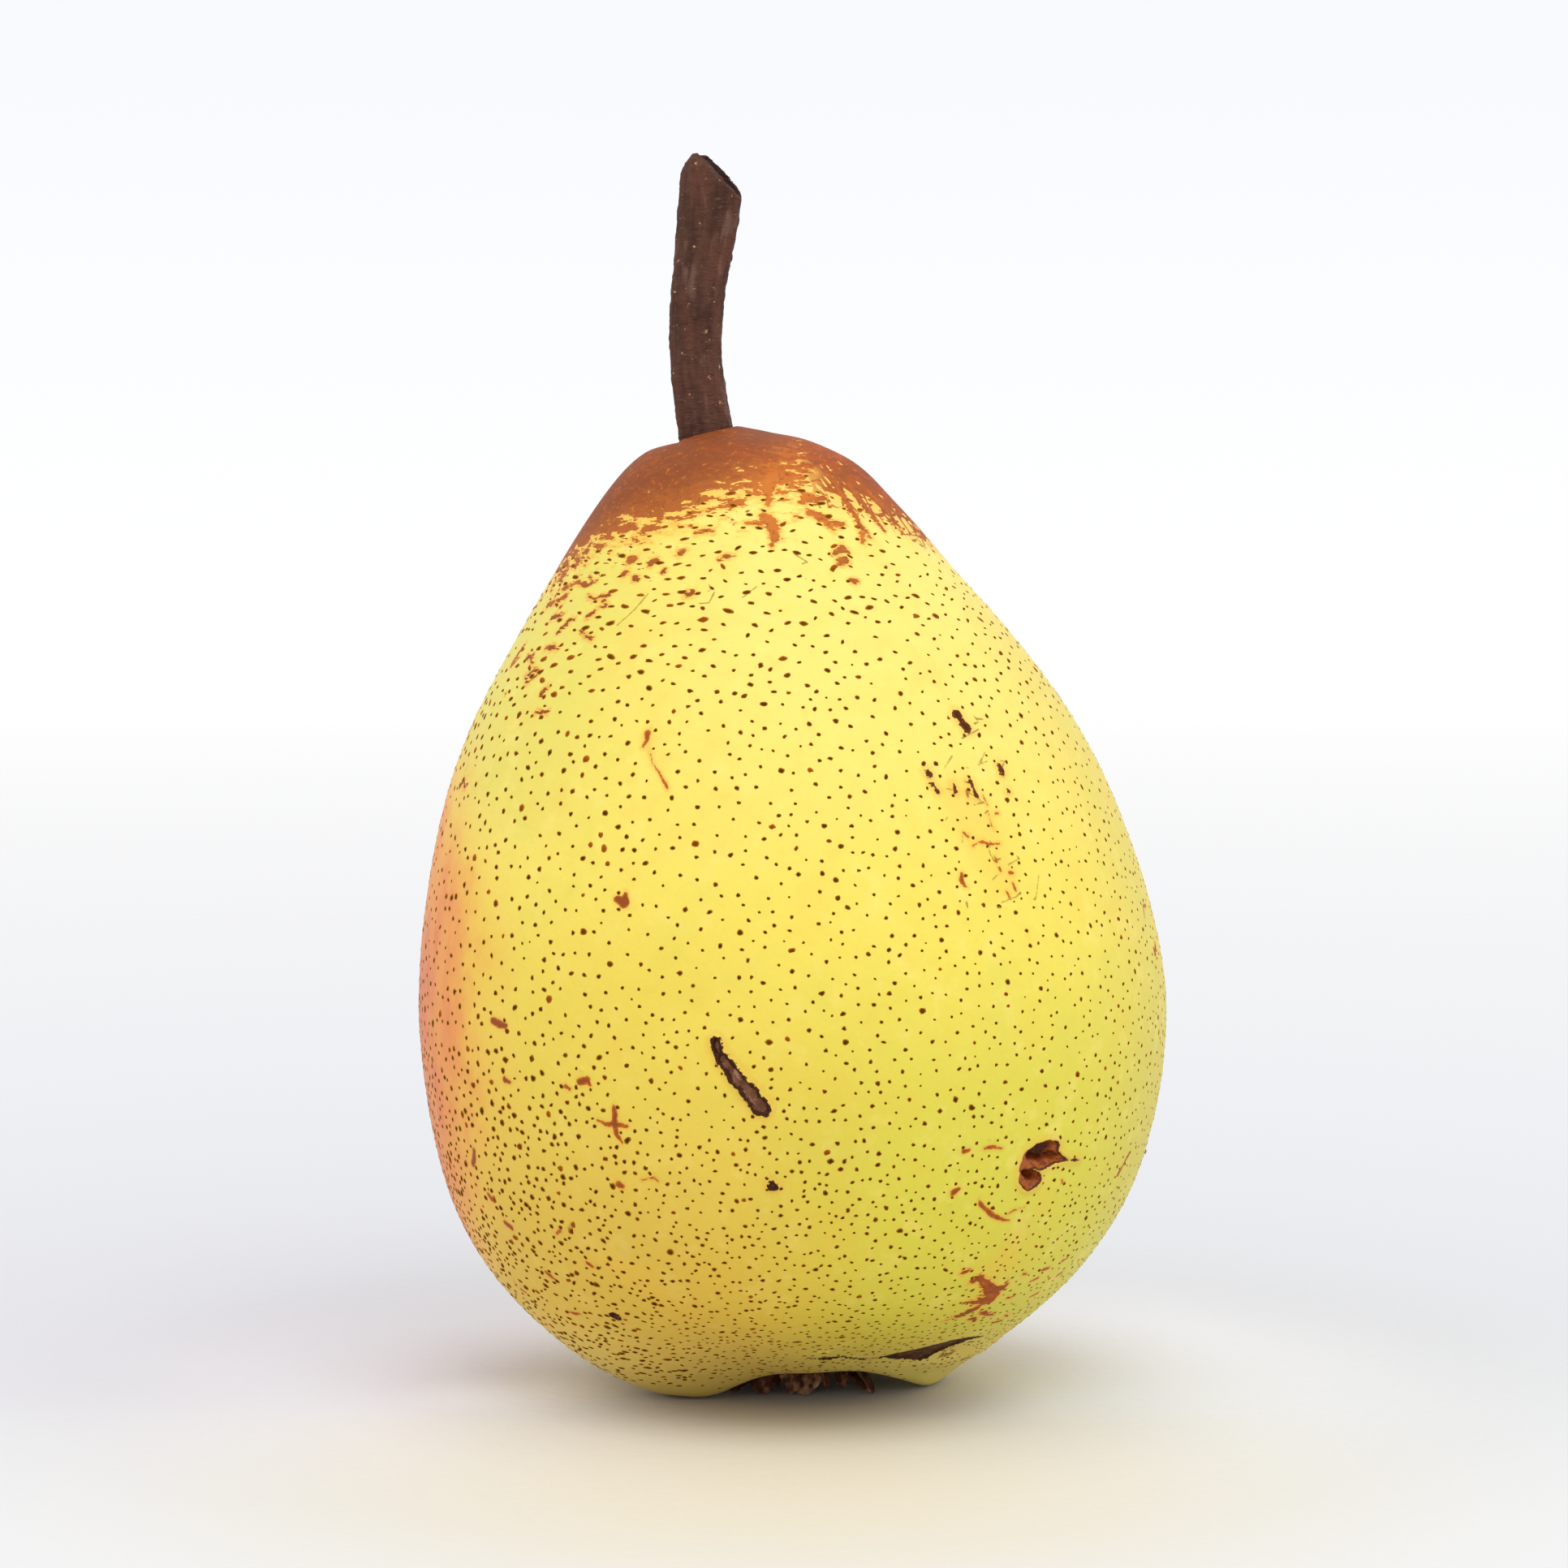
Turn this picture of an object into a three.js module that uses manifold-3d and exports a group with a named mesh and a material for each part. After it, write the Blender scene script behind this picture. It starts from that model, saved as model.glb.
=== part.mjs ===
// A ripe pear, standing on its calyx end: the fruit, its woody stalk, and the dried calyx of the flower it grew from.
// Millimetres, +Z up. The fruit stands on z = 0, and the origin is under the middle of the pear's bounding box.

import * as THREE from "three";
import { mergeVertices } from "three/addons/utils/BufferGeometryUtils.js";
import Module from "manifold-3d";

const manifold = await Module();
manifold.setup();

// ---------- driving dimensions ----------

const GAP = 0.3; // clearance that the stalk keeps in its socket; the calyx plug keeps as much in its seat

const FRUIT_SIDES = 76;
const FRUIT_DEPTH = 0.975; // front-to-back size of the fruit, as a share of its width
const STEPS_PER_SECTION = 3; // rings between two measured sections

// Sections of the fruit from the calyx basin up to the lip round the stalk: the height of each round section, its
// radius, and where its middle lies. The fruit leans, so the middles wander to the left as they climb.
const BASIN = [
  { z: 6.3, radius: 3.3, x: 2.0, y: 0 },
  { z: 5.3, radius: 5.6, x: 2.0, y: 0 },
  { z: 2.6, radius: 8.4, x: 1.9, y: 0 },
];
const LOBE_RIDGE = { z: 0, radius: 11.4, x: 1.4, y: 0 };
const FLANK = [
  { z: 1.3, radius: 15.4, x: 0.3, y: 0.1 },
  { z: 5.0, radius: 21.1, x: -0.6, y: 0.3 },
  { z: 11.2, radius: 27.5, x: 0.0, y: 0.6 },
  { z: 20.0, radius: 32.1, x: 0.6, y: 1.0 },
  { z: 34.7, radius: 34.2, x: 0.8, y: 1.2 },
  { z: 46.4, radius: 32.5, x: 0.2, y: 1.2 },
  { z: 58.1, radius: 28.6, x: -0.7, y: 1.0 },
  { z: 66.9, radius: 23.4, x: -1.5, y: 0.8 },
  { z: 74.3, radius: 18.0, x: -2.6, y: 0.5 },
  { z: 80.6, radius: 13.2, x: -3.4, y: 0.2 },
];
const SHOULDER = FLANK.at(-1);
const CROWN = [
  { z: 84.0, radius: 9.9, x: -3.7, y: 0.1 },
  { z: 85.7, radius: 6.4, x: -4.5, y: 0 },
  { z: 86.1, radius: 4.4, x: -6.0, y: 0 },
  { z: 86.6, radius: 3.1, x: -7.0, y: 0 },
];
const LIP = CROWN.at(-1);
const CROWN_TILT = 0.6; // the lip stands this much higher on the right of the stalk, and lower on its left
const CROWN_TILT_RADIUS = 9; // the tilt fades out this far from the stalk

// Five lobes round the basin: their direction, and how far each comes down below the furrows between them.
// The lobe at the front is a weak one, so the fruit stands on the other four, which are pressed flat.
const FURROW_HEIGHT = 2.9;
const LOBES = [
  { azimuth: -145, halfWidth: 52, depth: 3.4 },
  { azimuth: -86, halfWidth: 36, depth: 0.2 },
  { azimuth: 0, halfWidth: 75, depth: 3.3 },
  { azimuth: 70, halfWidth: 38, depth: 3.25 },
  { azimuth: 142, halfWidth: 42, depth: 3.35 },
];
const LOBE_INNER_RADIUS = 5; // lobes and furrows fade out towards the middle of the basin
const LOBE_TOP = 13; // and up the flank
const LOBE_BULGE = 0.7; // how far a lobe swells outwards over the heel of the flank

// A crease above the right-hand lobe, where the skin folded and cracked. The skin below it is set back.
const CREASE = { azimuth: -26, halfSpan: 56, z: 4.0, rise: 1.2, width: 0.9, depth: 0.5, setBack: 1.2 };
const CREASE_FADE = 5; // the set-back grows from nothing on the ridge to its full depth over this radius

// The stalk: sections from its foot in the fruit to its broken end.
const STALK_SIDES = 22;
const STALK = [
  { z: 79.6, radius: 2.2, x: -6.3, y: 0 },
  { z: 86.3, radius: 2.5, x: -7.05, y: 0 },
  { z: 89.8, radius: 2.34, x: -7.65, y: 0.1 },
  { z: 93.6, radius: 2.26, x: -8.0, y: 0.2 },
  { z: 97.8, radius: 2.34, x: -7.9, y: 0.3 },
  { z: 102.0, radius: 2.5, x: -7.4, y: 0.4 },
  { z: 106.2, radius: 2.74, x: -6.85, y: 0.3 },
  { z: 109.9, radius: 2.65, x: -6.5, y: 0.2 },
  { z: 111.4, radius: 1.6, x: -6.6, y: 0.2 },
];
const STALK_OVAL = 0.05; // the bare stalk is a little oval and a little three-sided
const STALK_OVAL_FROM = 3; // the oval grows from nothing over this height above the lip
const STALK_BREAK = { x: -5.2, z: 109.0, slope: 45, lean: 16 }; // the slanting break: a point on it, and its angles
const STALK_BREAK_SIZE = 20; // edge of the block that is cut away above the break

// The calyx: a woody plug with five dried sepals and a tuft of dried stamens.
const CALYX_X = 2.0;
const CALYX_SEAT = { radius: 3.0, z: 8.2 }; // the round seat in the middle of the basin, up to its end
const PLUG = [
  { z: 5.0, radius: 1.5 },
  { z: 5.4, radius: 2.2 },
  { z: 6.2, radius: 2.7 },
  { z: 7.9, radius: 2.6 },
];
const PLUG_SIDES = 20;
const SEPAL_LENGTH_STEPS = 8;
const SEPAL_THICKNESS = 0.65;
const SEPAL_ROOT = { radius: 1.4, z: 6.6 }; // inside the plug
const SEPAL_BEND = { radius: 2.4, z: 4.5 }; // where the blade has left the plug and turns outwards
// Each sepal's direction, how far out its tip reaches, the tip's height, its width, and how much it cups.
const SEPALS = [
  { azimuth: -145, reach: 7.6, tip: 0.8, width: 3.0, cup: 0.5 },
  { azimuth: -94, reach: 4.8, tip: 0.8, width: 2.7, cup: -0.4 },
  { azimuth: -44, reach: 7.7, tip: 0.7, width: 2.3, cup: 0.3 },
  { azimuth: 40, reach: 5.6, tip: 1.2, width: 2.8, cup: 0.6 },
  { azimuth: 116, reach: 5.0, tip: 1.0, width: 2.7, cup: -0.5 },
];
const STAMENS = { count: 9, ring: 1.3, length: 2.6, sunk: 1.2, radius: 0.26, splay: 17, sides: 5 };

// ---------- helpers ----------

const radians = THREE.MathUtils.degToRad;

// The smaller angle between two directions, in radians.
function angleBetween(a, b) {
  return Math.abs(Math.atan2(Math.sin(a - b), Math.cos(a - b)));
}

// A hill of height 1 at d = 0 that falls smoothly to 0 at d = reach.
function hill(d, reach) {
  return Math.abs(d) < reach ? 0.5 + 0.5 * Math.cos((Math.PI * d) / reach) : 0;
}

// Smooth sections between the measured ones: one curve for radius and height, and one for the middle.
function smoothSections(measured, steps) {
  const outline = new THREE.CatmullRomCurve3(measured.map((s) => new THREE.Vector3(s.radius, s.z, 0)));
  const middles = new THREE.CatmullRomCurve3(measured.map((s) => new THREE.Vector3(s.x, s.y, 0)));
  middles.curveType = "catmullrom";
  const count = (measured.length - 1) * steps;
  return Array.from({ length: count + 1 }, (_, i) => {
    const p = outline.getPoint(i / count);
    const m = middles.getPoint(i / count);
    return { radius: p.x, z: p.y, x: m.x, y: m.y };
  });
}

// A closed skin over round sections, from the lowest to the highest. Each end closes on its section's middle.
// shape(section, angle) may move a point; it returns a Vector3.
function loft(sections, sides, shape = pointOn) {
  const first = { ...sections[0], radius: 0 };
  const last = { ...sections[sections.length - 1], radius: 0 };
  const rings = [first, ...sections, last];
  const profile = rings.map((s) => new THREE.Vector2(s.radius, s.z));
  const geometry = new THREE.LatheGeometry(profile, sides);
  const position = geometry.getAttribute("position");
  for (let i = 0; i <= sides; i++) {
    const angle = ((i % sides) / sides) * 2 * Math.PI;
    rings.forEach((ring, j) => {
      const p = shape(ring, angle);
      position.setXYZ(i * rings.length + j, p.x, p.y, p.z);
    });
  }
  return onlyPositions(geometry);
}

function pointOn(section, angle) {
  return new THREE.Vector3(
    section.x + section.radius * Math.cos(angle),
    section.y + section.radius * Math.sin(angle),
    section.z,
  );
}

// The geometry with shared vertices merged, and no other attribute than position.
function onlyPositions(geometry) {
  geometry.deleteAttribute("normal");
  geometry.deleteAttribute("uv");
  return mergeVertices(geometry, 1e-4);
}

function solidOf(geometry) {
  const mesh = new manifold.Mesh({
    numProp: 3,
    vertProperties: new Float32Array(geometry.getAttribute("position").array),
    triVerts: new Uint32Array(geometry.getIndex().array),
  });
  return new manifold.Manifold(mesh);
}

function geometryOf(solid) {
  const { vertProperties, triVerts } = solid.getMesh();
  return new THREE.BufferGeometry()
    .setAttribute("position", new THREE.BufferAttribute(vertProperties, 3))
    .setIndex(new THREE.BufferAttribute(triVerts, 1));
}

// ---------- the fruit ----------

// How far below the furrows the lobes reach in this direction, in millimetres.
function lobeDepth(angle) {
  const depths = LOBES.map(
    (lobe) => lobe.depth * hill(angleBetween(angle, radians(lobe.azimuth)), radians(lobe.halfWidth)),
  );
  return depths.reduce((sum, depth) => sum + depth, 0);
}

// 1 on the ridge that carries the lobes, fading to 0 in the basin and up the flank.
function lobeShare(section) {
  const isInside = section.radius < LOBE_RIDGE.radius && section.z < LOBE_TOP;
  return isInside
    ? THREE.MathUtils.smoothstep(section.radius, LOBE_INNER_RADIUS, LOBE_RIDGE.radius)
    : 1 - THREE.MathUtils.smoothstep(section.z, LOBE_RIDGE.z, LOBE_TOP);
}

// How far the skin lies inside its round section, in the crease and below it.
function creaseDepth(section, angle) {
  const side = Math.sin(angle - radians(CREASE.azimuth)) / Math.sin(radians(CREASE.halfSpan));
  const above = (section.z - CREASE.z - CREASE.rise * side) / CREASE.width;
  const cut = CREASE.depth * Math.exp(-(above ** 2));
  const step = CREASE.setBack * (1 - THREE.MathUtils.smoothstep(above, -1, 1));
  const fade = THREE.MathUtils.smoothstep(section.radius - LOBE_RIDGE.radius, 0, CREASE_FADE);
  return fade * (cut + step) * hill(angleBetween(angle, radians(CREASE.azimuth)), radians(CREASE.halfSpan));
}

function pointOnFruit(section, angle) {
  const p = pointOn(section, angle);
  p.y = section.y + (p.y - section.y) * FRUIT_DEPTH;
  if (section.radius === 0) return p;

  const outward = new THREE.Vector3(Math.cos(angle), Math.sin(angle), 0);
  const share = lobeShare(section);
  const swell = LOBE_BULGE * (lobeDepth(angle) / FURROW_HEIGHT - 0.5);
  const isFlank = section.z < LOBE_TOP && section.radius > LOBE_RIDGE.radius;
  p.z += share * (FURROW_HEIGHT - lobeDepth(angle));
  p.addScaledVector(outward, isFlank ? share * swell - creaseDepth(section, angle) : 0);

  const tilt = 1 - THREE.MathUtils.smoothstep(section.radius, LIP.radius, CROWN_TILT_RADIUS);
  p.z += section.z > SHOULDER.z ? CROWN_TILT * tilt * Math.cos(angle) : 0;

  p.z = Math.max(p.z, 0);
  return p;
}

function fruitGeometry(stalkSections) {
  const seat = [
    { z: CALYX_SEAT.z, radius: CALYX_SEAT.radius, x: CALYX_X, y: 0 },
    { z: BASIN[0].z + 0.2, radius: CALYX_SEAT.radius, x: CALYX_X, y: 0 },
  ];
  const skin = smoothSections([...BASIN, LOBE_RIDGE, ...FLANK, ...CROWN], STEPS_PER_SECTION);
  const socket = stalkSections
    .filter((s) => s.z < LIP.z - 0.4)
    .map((s) => ({ ...s, radius: s.radius + GAP, z: s.z - GAP }))
    .reverse();
  return loft([...seat, ...skin, ...socket], FRUIT_SIDES, pointOnFruit);
}

// ---------- the stalk ----------

function pointOnStalk(section, angle) {
  const bare = THREE.MathUtils.smoothstep(section.z, LIP.z, LIP.z + STALK_OVAL_FROM);
  const oval = Math.cos(2 * angle + 0.8) + 0.6 * Math.cos(3 * angle - 0.5);
  return pointOn({ ...section, radius: section.radius * (1 + STALK_OVAL * bare * oval) }, angle);
}

function stalkGeometry(sections) {
  const stalk = solidOf(loft(sections, STALK_SIDES, pointOnStalk));
  const above = new THREE.BoxGeometry(STALK_BREAK_SIZE, STALK_BREAK_SIZE, STALK_BREAK_SIZE)
    .translate(0, 0, STALK_BREAK_SIZE / 2)
    .rotateX(radians(STALK_BREAK.lean))
    .rotateY(radians(STALK_BREAK.slope))
    .translate(STALK_BREAK.x, 0, STALK_BREAK.z);
  return geometryOf(stalk.subtract(solidOf(onlyPositions(above))));
}

// ---------- the calyx ----------

// A thin blade that springs from the plug, bends outwards as it hangs, and narrows to its tip.
function sepalGeometry({ azimuth, reach, tip, width, cup }) {
  const root = new THREE.Vector3(SEPAL_ROOT.radius, 0, SEPAL_ROOT.z);
  const bend = new THREE.Vector3(SEPAL_BEND.radius, 0, SEPAL_BEND.z);
  const end = new THREE.Vector3(reach, 0, tip);
  const droop = new THREE.Vector3().lerpVectors(bend, end, 0.5);
  droop.x -= 0.05 * (reach - SEPAL_BEND.radius);
  droop.z -= 0.1 * (SEPAL_BEND.z - tip);
  const rib = new THREE.CatmullRomCurve3([root, bend, droop, end]);
  const blade = onlyPositions(new THREE.BoxGeometry(1, 1, 1, 2, SEPAL_LENGTH_STEPS, 1));
  const position = blade.getAttribute("position");
  const across = new THREE.Vector3(0, 1, 0);
  for (let i = 0; i < position.count; i++) {
    const side = position.getX(i) * 2; // -1 to 1 across the blade
    const along = 0.5 - position.getY(i); // 0 at the root, 1 at the tip
    const face = position.getZ(i); // the under or the upper face
    const t = rib.getTangent(along);
    const normal = new THREE.Vector3().crossVectors(t, across).normalize();
    const half = (width / 2) * Math.sqrt(1 - along ** 2 * 0.97) * (0.75 + 0.5 * hill(along - 0.35, 0.6));
    const p = rib
      .getPoint(along)
      .addScaledVector(across, side * half)
      .addScaledVector(normal, face * SEPAL_THICKNESS - cup * (side ** 2 - 0.4) * (1 - along));
    position.setXYZ(i, p.x, p.y, p.z);
  }
  return blade.rotateZ(radians(azimuth)).translate(CALYX_X, 0, 0);
}

// A dry filament that hangs from the foot of the plug. The golden angle varies how far each one splays.
function stamenGeometry(index) {
  const { count, ring, length, sunk, radius, splay, sides } = STAMENS;
  const turn = (index / count) * 2 * Math.PI;
  return new THREE.CylinderGeometry(radius, radius * 0.8, length, sides)
    .rotateX(Math.PI / 2)
    .translate(0, 0, sunk - length / 2)
    .rotateY(radians(-splay * (0.6 + 0.4 * Math.sin(index * 2.4))))
    .translate(ring, 0, PLUG[0].z)
    .rotateZ(turn)
    .translate(CALYX_X, 0, 0);
}

function calyxGeometry() {
  const plug = PLUG.map((section) => ({ ...section, x: CALYX_X, y: 0 }));
  let calyx = solidOf(loft(plug, PLUG_SIDES));
  for (const sepal of SEPALS) calyx = calyx.add(solidOf(sepalGeometry(sepal)));
  for (let i = 0; i < STAMENS.count; i++) calyx = calyx.add(solidOf(onlyPositions(stamenGeometry(i))));
  const skins = calyx.decompose(); // the outer skin, and any small hollow that the roots closed off
  return geometryOf(skins.reduce((a, b) => (a.volume() > b.volume() ? a : b)));
}

// ---------- the pear ----------

function piece(name, geometry, color, roughness) {
  const mesh = new THREE.Mesh(geometry, new THREE.MeshStandardMaterial({ color, roughness, metalness: 0 }));
  mesh.name = name;
  return mesh;
}

const stalkSections = smoothSections(STALK, STEPS_PER_SECTION);
const pear = new THREE.Group();
pear.add(
  piece("fruit", fruitGeometry(stalkSections), 0xe6cf57, 0.45),
  piece("stalk", stalkGeometry(stalkSections), 0x5a3f35, 0.85),
  piece("calyx", calyxGeometry(), 0x3f2a20, 0.9),
);

// Put the origin under the middle of the bounding box.
const middle = new THREE.Box3().setFromObject(pear).getCenter(new THREE.Vector3());
pear.position.set(-middle.x, -middle.y, 0);

export default pear;
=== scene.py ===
# %% [markdown]
# # A ripe pear
# The solid parts of the pear are already made and packed: the fruit, the woody stalk, and the calyx, which
# is the dried end of the flower underneath. This lesson dresses them for a close look. The solids are the
# frame: they are never moved or edited. Each one is copied, the copy gets finer detail, and the copy then
# stands in for the solid. Their frame is in metres, with the fruit standing on height zero. Lengths on a pear
# are easier to think of in millimetres, so the lesson works in those and converts at the end.

# %% Load the solids and keep their box
import math

import bmesh
import bpy
import numpy as np
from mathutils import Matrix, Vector, noise
from mathutils.bvhtree import BVHTree


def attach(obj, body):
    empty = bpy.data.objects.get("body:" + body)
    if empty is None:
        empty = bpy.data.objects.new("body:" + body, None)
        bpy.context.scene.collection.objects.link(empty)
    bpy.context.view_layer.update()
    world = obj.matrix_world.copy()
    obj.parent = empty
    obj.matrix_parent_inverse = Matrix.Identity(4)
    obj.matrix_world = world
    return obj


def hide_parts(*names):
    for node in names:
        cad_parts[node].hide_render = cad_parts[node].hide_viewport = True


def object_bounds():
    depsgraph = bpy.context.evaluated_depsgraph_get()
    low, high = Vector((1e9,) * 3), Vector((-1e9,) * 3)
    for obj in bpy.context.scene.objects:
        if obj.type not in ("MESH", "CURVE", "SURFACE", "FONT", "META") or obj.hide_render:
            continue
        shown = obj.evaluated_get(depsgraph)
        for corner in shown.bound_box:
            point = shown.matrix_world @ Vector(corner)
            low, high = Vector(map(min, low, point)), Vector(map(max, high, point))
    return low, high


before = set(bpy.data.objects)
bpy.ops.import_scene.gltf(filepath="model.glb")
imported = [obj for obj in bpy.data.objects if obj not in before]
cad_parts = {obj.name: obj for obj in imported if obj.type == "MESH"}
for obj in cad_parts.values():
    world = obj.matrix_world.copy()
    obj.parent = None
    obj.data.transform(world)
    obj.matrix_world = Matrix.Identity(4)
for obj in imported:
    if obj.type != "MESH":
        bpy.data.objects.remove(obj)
solid_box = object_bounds()
MM = 0.001  # metres
print("solids:", sorted(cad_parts), "box in mm:", [[round(v / MM, 2) for v in c] for c in solid_box])

# %% [markdown]
# ## The camera
# The pear is seen from straight in front and from a little above its middle, at less than an arm's length. A
# long lens keeps the proportions calm: a short lens close by would swell the belly. The camera is the first
# object in the scene, so the helper that adds one comes here.


# %% Add an object to the scene
def add_object(name, data):
    """A new object that shows this data."""
    made = bpy.data.objects.new(name, data)
    bpy.context.scene.collection.objects.link(made)
    return made


# %% Place the camera
CAMERA_PLACE = (-0.8, -401.2, 78.0)
CAMERA_AIM = (-0.8, -1.2, 54.6)
VIEW_WIDTH = 142.2  # what the picture spans at the pear, in millimetres
SENSOR = 36.0
NEAREST_SEEN = 0.01  # metres

camera = add_object("camera", bpy.data.cameras.new("camera"))
bpy.context.scene.camera = camera
sight = Vector(CAMERA_AIM) - Vector(CAMERA_PLACE)
camera.location = Vector(CAMERA_PLACE) * MM
camera.rotation_euler = sight.to_track_quat("-Z", "Y").to_euler()
camera.data.sensor_width = SENSOR
camera.data.lens = SENSOR * sight.length / VIEW_WIDTH
camera.data.clip_start = NEAREST_SEEN
print("lens", round(camera.data.lens, 1), "mm")

# %% [markdown]
# ## Meshes as arrays
# Most shaping here is plain sums over all points of a mesh at once, so points travel between Blender and
# numpy arrays. A mesh that comes from a solid is welded first, and its pairs of triangles are joined to
# four-sided faces, because a subdivision surface rounds those evenly.


# %% Move points between Blender and numpy
def points_of(mesh):
    """Every vertex of the mesh, in millimetres."""
    flat = np.empty(len(mesh.vertices) * 3, np.float32)
    mesh.vertices.foreach_get("co", flat)
    return flat.reshape(-1, 3).astype(float) / MM


def normals_of(mesh):
    """The direction that the skin faces at every vertex."""
    flat = np.empty(len(mesh.vertices) * 3, np.float32)
    mesh.vertex_normals.foreach_get("vector", flat)
    return flat.reshape(-1, 3).astype(float)


def move_points(mesh, points):
    """Puts every vertex of the mesh where points says, in millimetres."""
    mesh.vertices.foreach_set("co", (points * MM).astype(np.float32).ravel())
    mesh.update()


def ease(low, high, value):
    """0 below low, 1 above high, and a smooth rise between them. With low above high it falls instead."""
    t = np.clip((value - low) / (high - low), 0, 1)
    return t * t * (3 - 2 * t)


def store(mesh, name, values):
    """Keeps one number per vertex on the mesh, where a material can read it."""
    mesh.attributes.new(name, "FLOAT", "POINT").data.foreach_set("value", values.astype(np.float32))


def waves(points, size, seed, detail=2):
    """Smooth random numbers from about -1 to 1 that change over size millimetres."""
    offset = Vector((seed * 7.3, seed * 3.1, seed * 5.7))
    return np.array([noise.fractal(Vector(p) / size + offset, 0.6, 2.0, detail) for p in points])


# %% Make meshes, copy a solid, and apply modifiers
WELD = 2e-6  # metres
FLAT_ENOUGH = 0.9  # radians; how bent or skewed two triangles may be that are joined to one face


def mesh_of(name, places, faces):
    """A mesh of these places, in metres, and faces."""
    mesh = bpy.data.meshes.new(name)
    mesh.from_pydata(places, [], faces)
    return mesh


def copy_of(node, name):
    """A new object with the node's shape, welded and in four-sided faces where that is possible."""
    shape = bmesh.new()
    shape.from_mesh(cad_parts[node].data)
    bmesh.ops.remove_doubles(shape, verts=shape.verts, dist=WELD)
    bmesh.ops.join_triangles(
        shape, faces=shape.faces, angle_face_threshold=FLAT_ENOUGH, angle_shape_threshold=FLAT_ENOUGH
    )
    shape.verts.index_update()
    places = [v.co[:] for v in shape.verts]
    faces = [[v.index for v in f.verts] for f in shape.faces]
    shape.free()
    return add_object(name, mesh_of(name, places, faces))


def apply_modifiers(piece):
    """Makes what the modifiers show the piece's own mesh."""
    bpy.context.view_layer.update()
    seen = piece.evaluated_get(bpy.context.evaluated_depsgraph_get())
    mesh = bpy.data.meshes.new_from_object(seen)
    piece.modifiers.clear()
    piece.data = mesh
    mesh.shade_smooth()


def round_off(piece, levels):
    """Rounds the piece with a subdivision surface, after any modifier that it already has."""
    rounding = piece.modifiers.new("rounding", "SUBSURF")
    rounding.levels = levels
    apply_modifiers(piece)


# %% [markdown]
# ## The fruit's skin
# A pear's skin is taut and smooth, with slow hollows that a hand feels more than the eye sees. The solid has
# wide faces, so a subdivision surface rounds it until its outline reads as smooth from close by.

# %% Smooth the fruit
fruit = copy_of("fruit", "pear_skin")
round_off(fruit, levels=1)
print("fruit after rounding:", len(fruit.data.polygons), "faces")

# %% [markdown]
# ## Places on the skin
# A blemish is given by its direction round the fruit, in degrees to the right of straight ahead, and by its
# height in millimetres. A ray sent at the fruit from outside, at that height, finds the point of skin.

# %% Find a point of skin
AXIS = (-0.3, -0.4)  # the fruit's middle, seen from above
FAR = 60.0  # well outside the fruit

skin_tree = BVHTree.FromPolygons(
    points_of(fruit.data).tolist(), [list(p.vertices) for p in fruit.data.polygons]
)


def on_skin(degrees, height):
    """The point of skin in this direction at this height."""
    out = Vector((math.sin(math.radians(degrees)), -math.cos(math.radians(degrees)), 0))
    start = Vector((*AXIS, height)) + out * FAR
    return np.array(skin_tree.ray_cast(start, -out)[0])


def round_and_height(points):
    """The directions round the fruit, in degrees to the right of straight ahead, and the heights."""
    return np.degrees(np.arctan2(points[:, 0] - AXIS[0], AXIS[1] - points[:, 1])), points[:, 2]


print("skin straight ahead at 35 mm:", on_skin(0, 35).round(1))

# %% [markdown]
# ## Blemishes
# A real pear has scars, a peck mark, rusty patches and a crack by its base. Each is made of chains of beads:
# direction, height, and the bead's radius. A chain's edge runs round all its beads and between them. The
# marks that this pear is known by are written down, and small ones that any pear has are scattered. What a
# material or a dent needs is one number at each point of skin: how far outside the nearest chain of a kind
# it is, negative inside. Kept on the mesh, it gives a clean outline at any scale, and noise that is added to
# it later makes the outline ragged.

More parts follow.
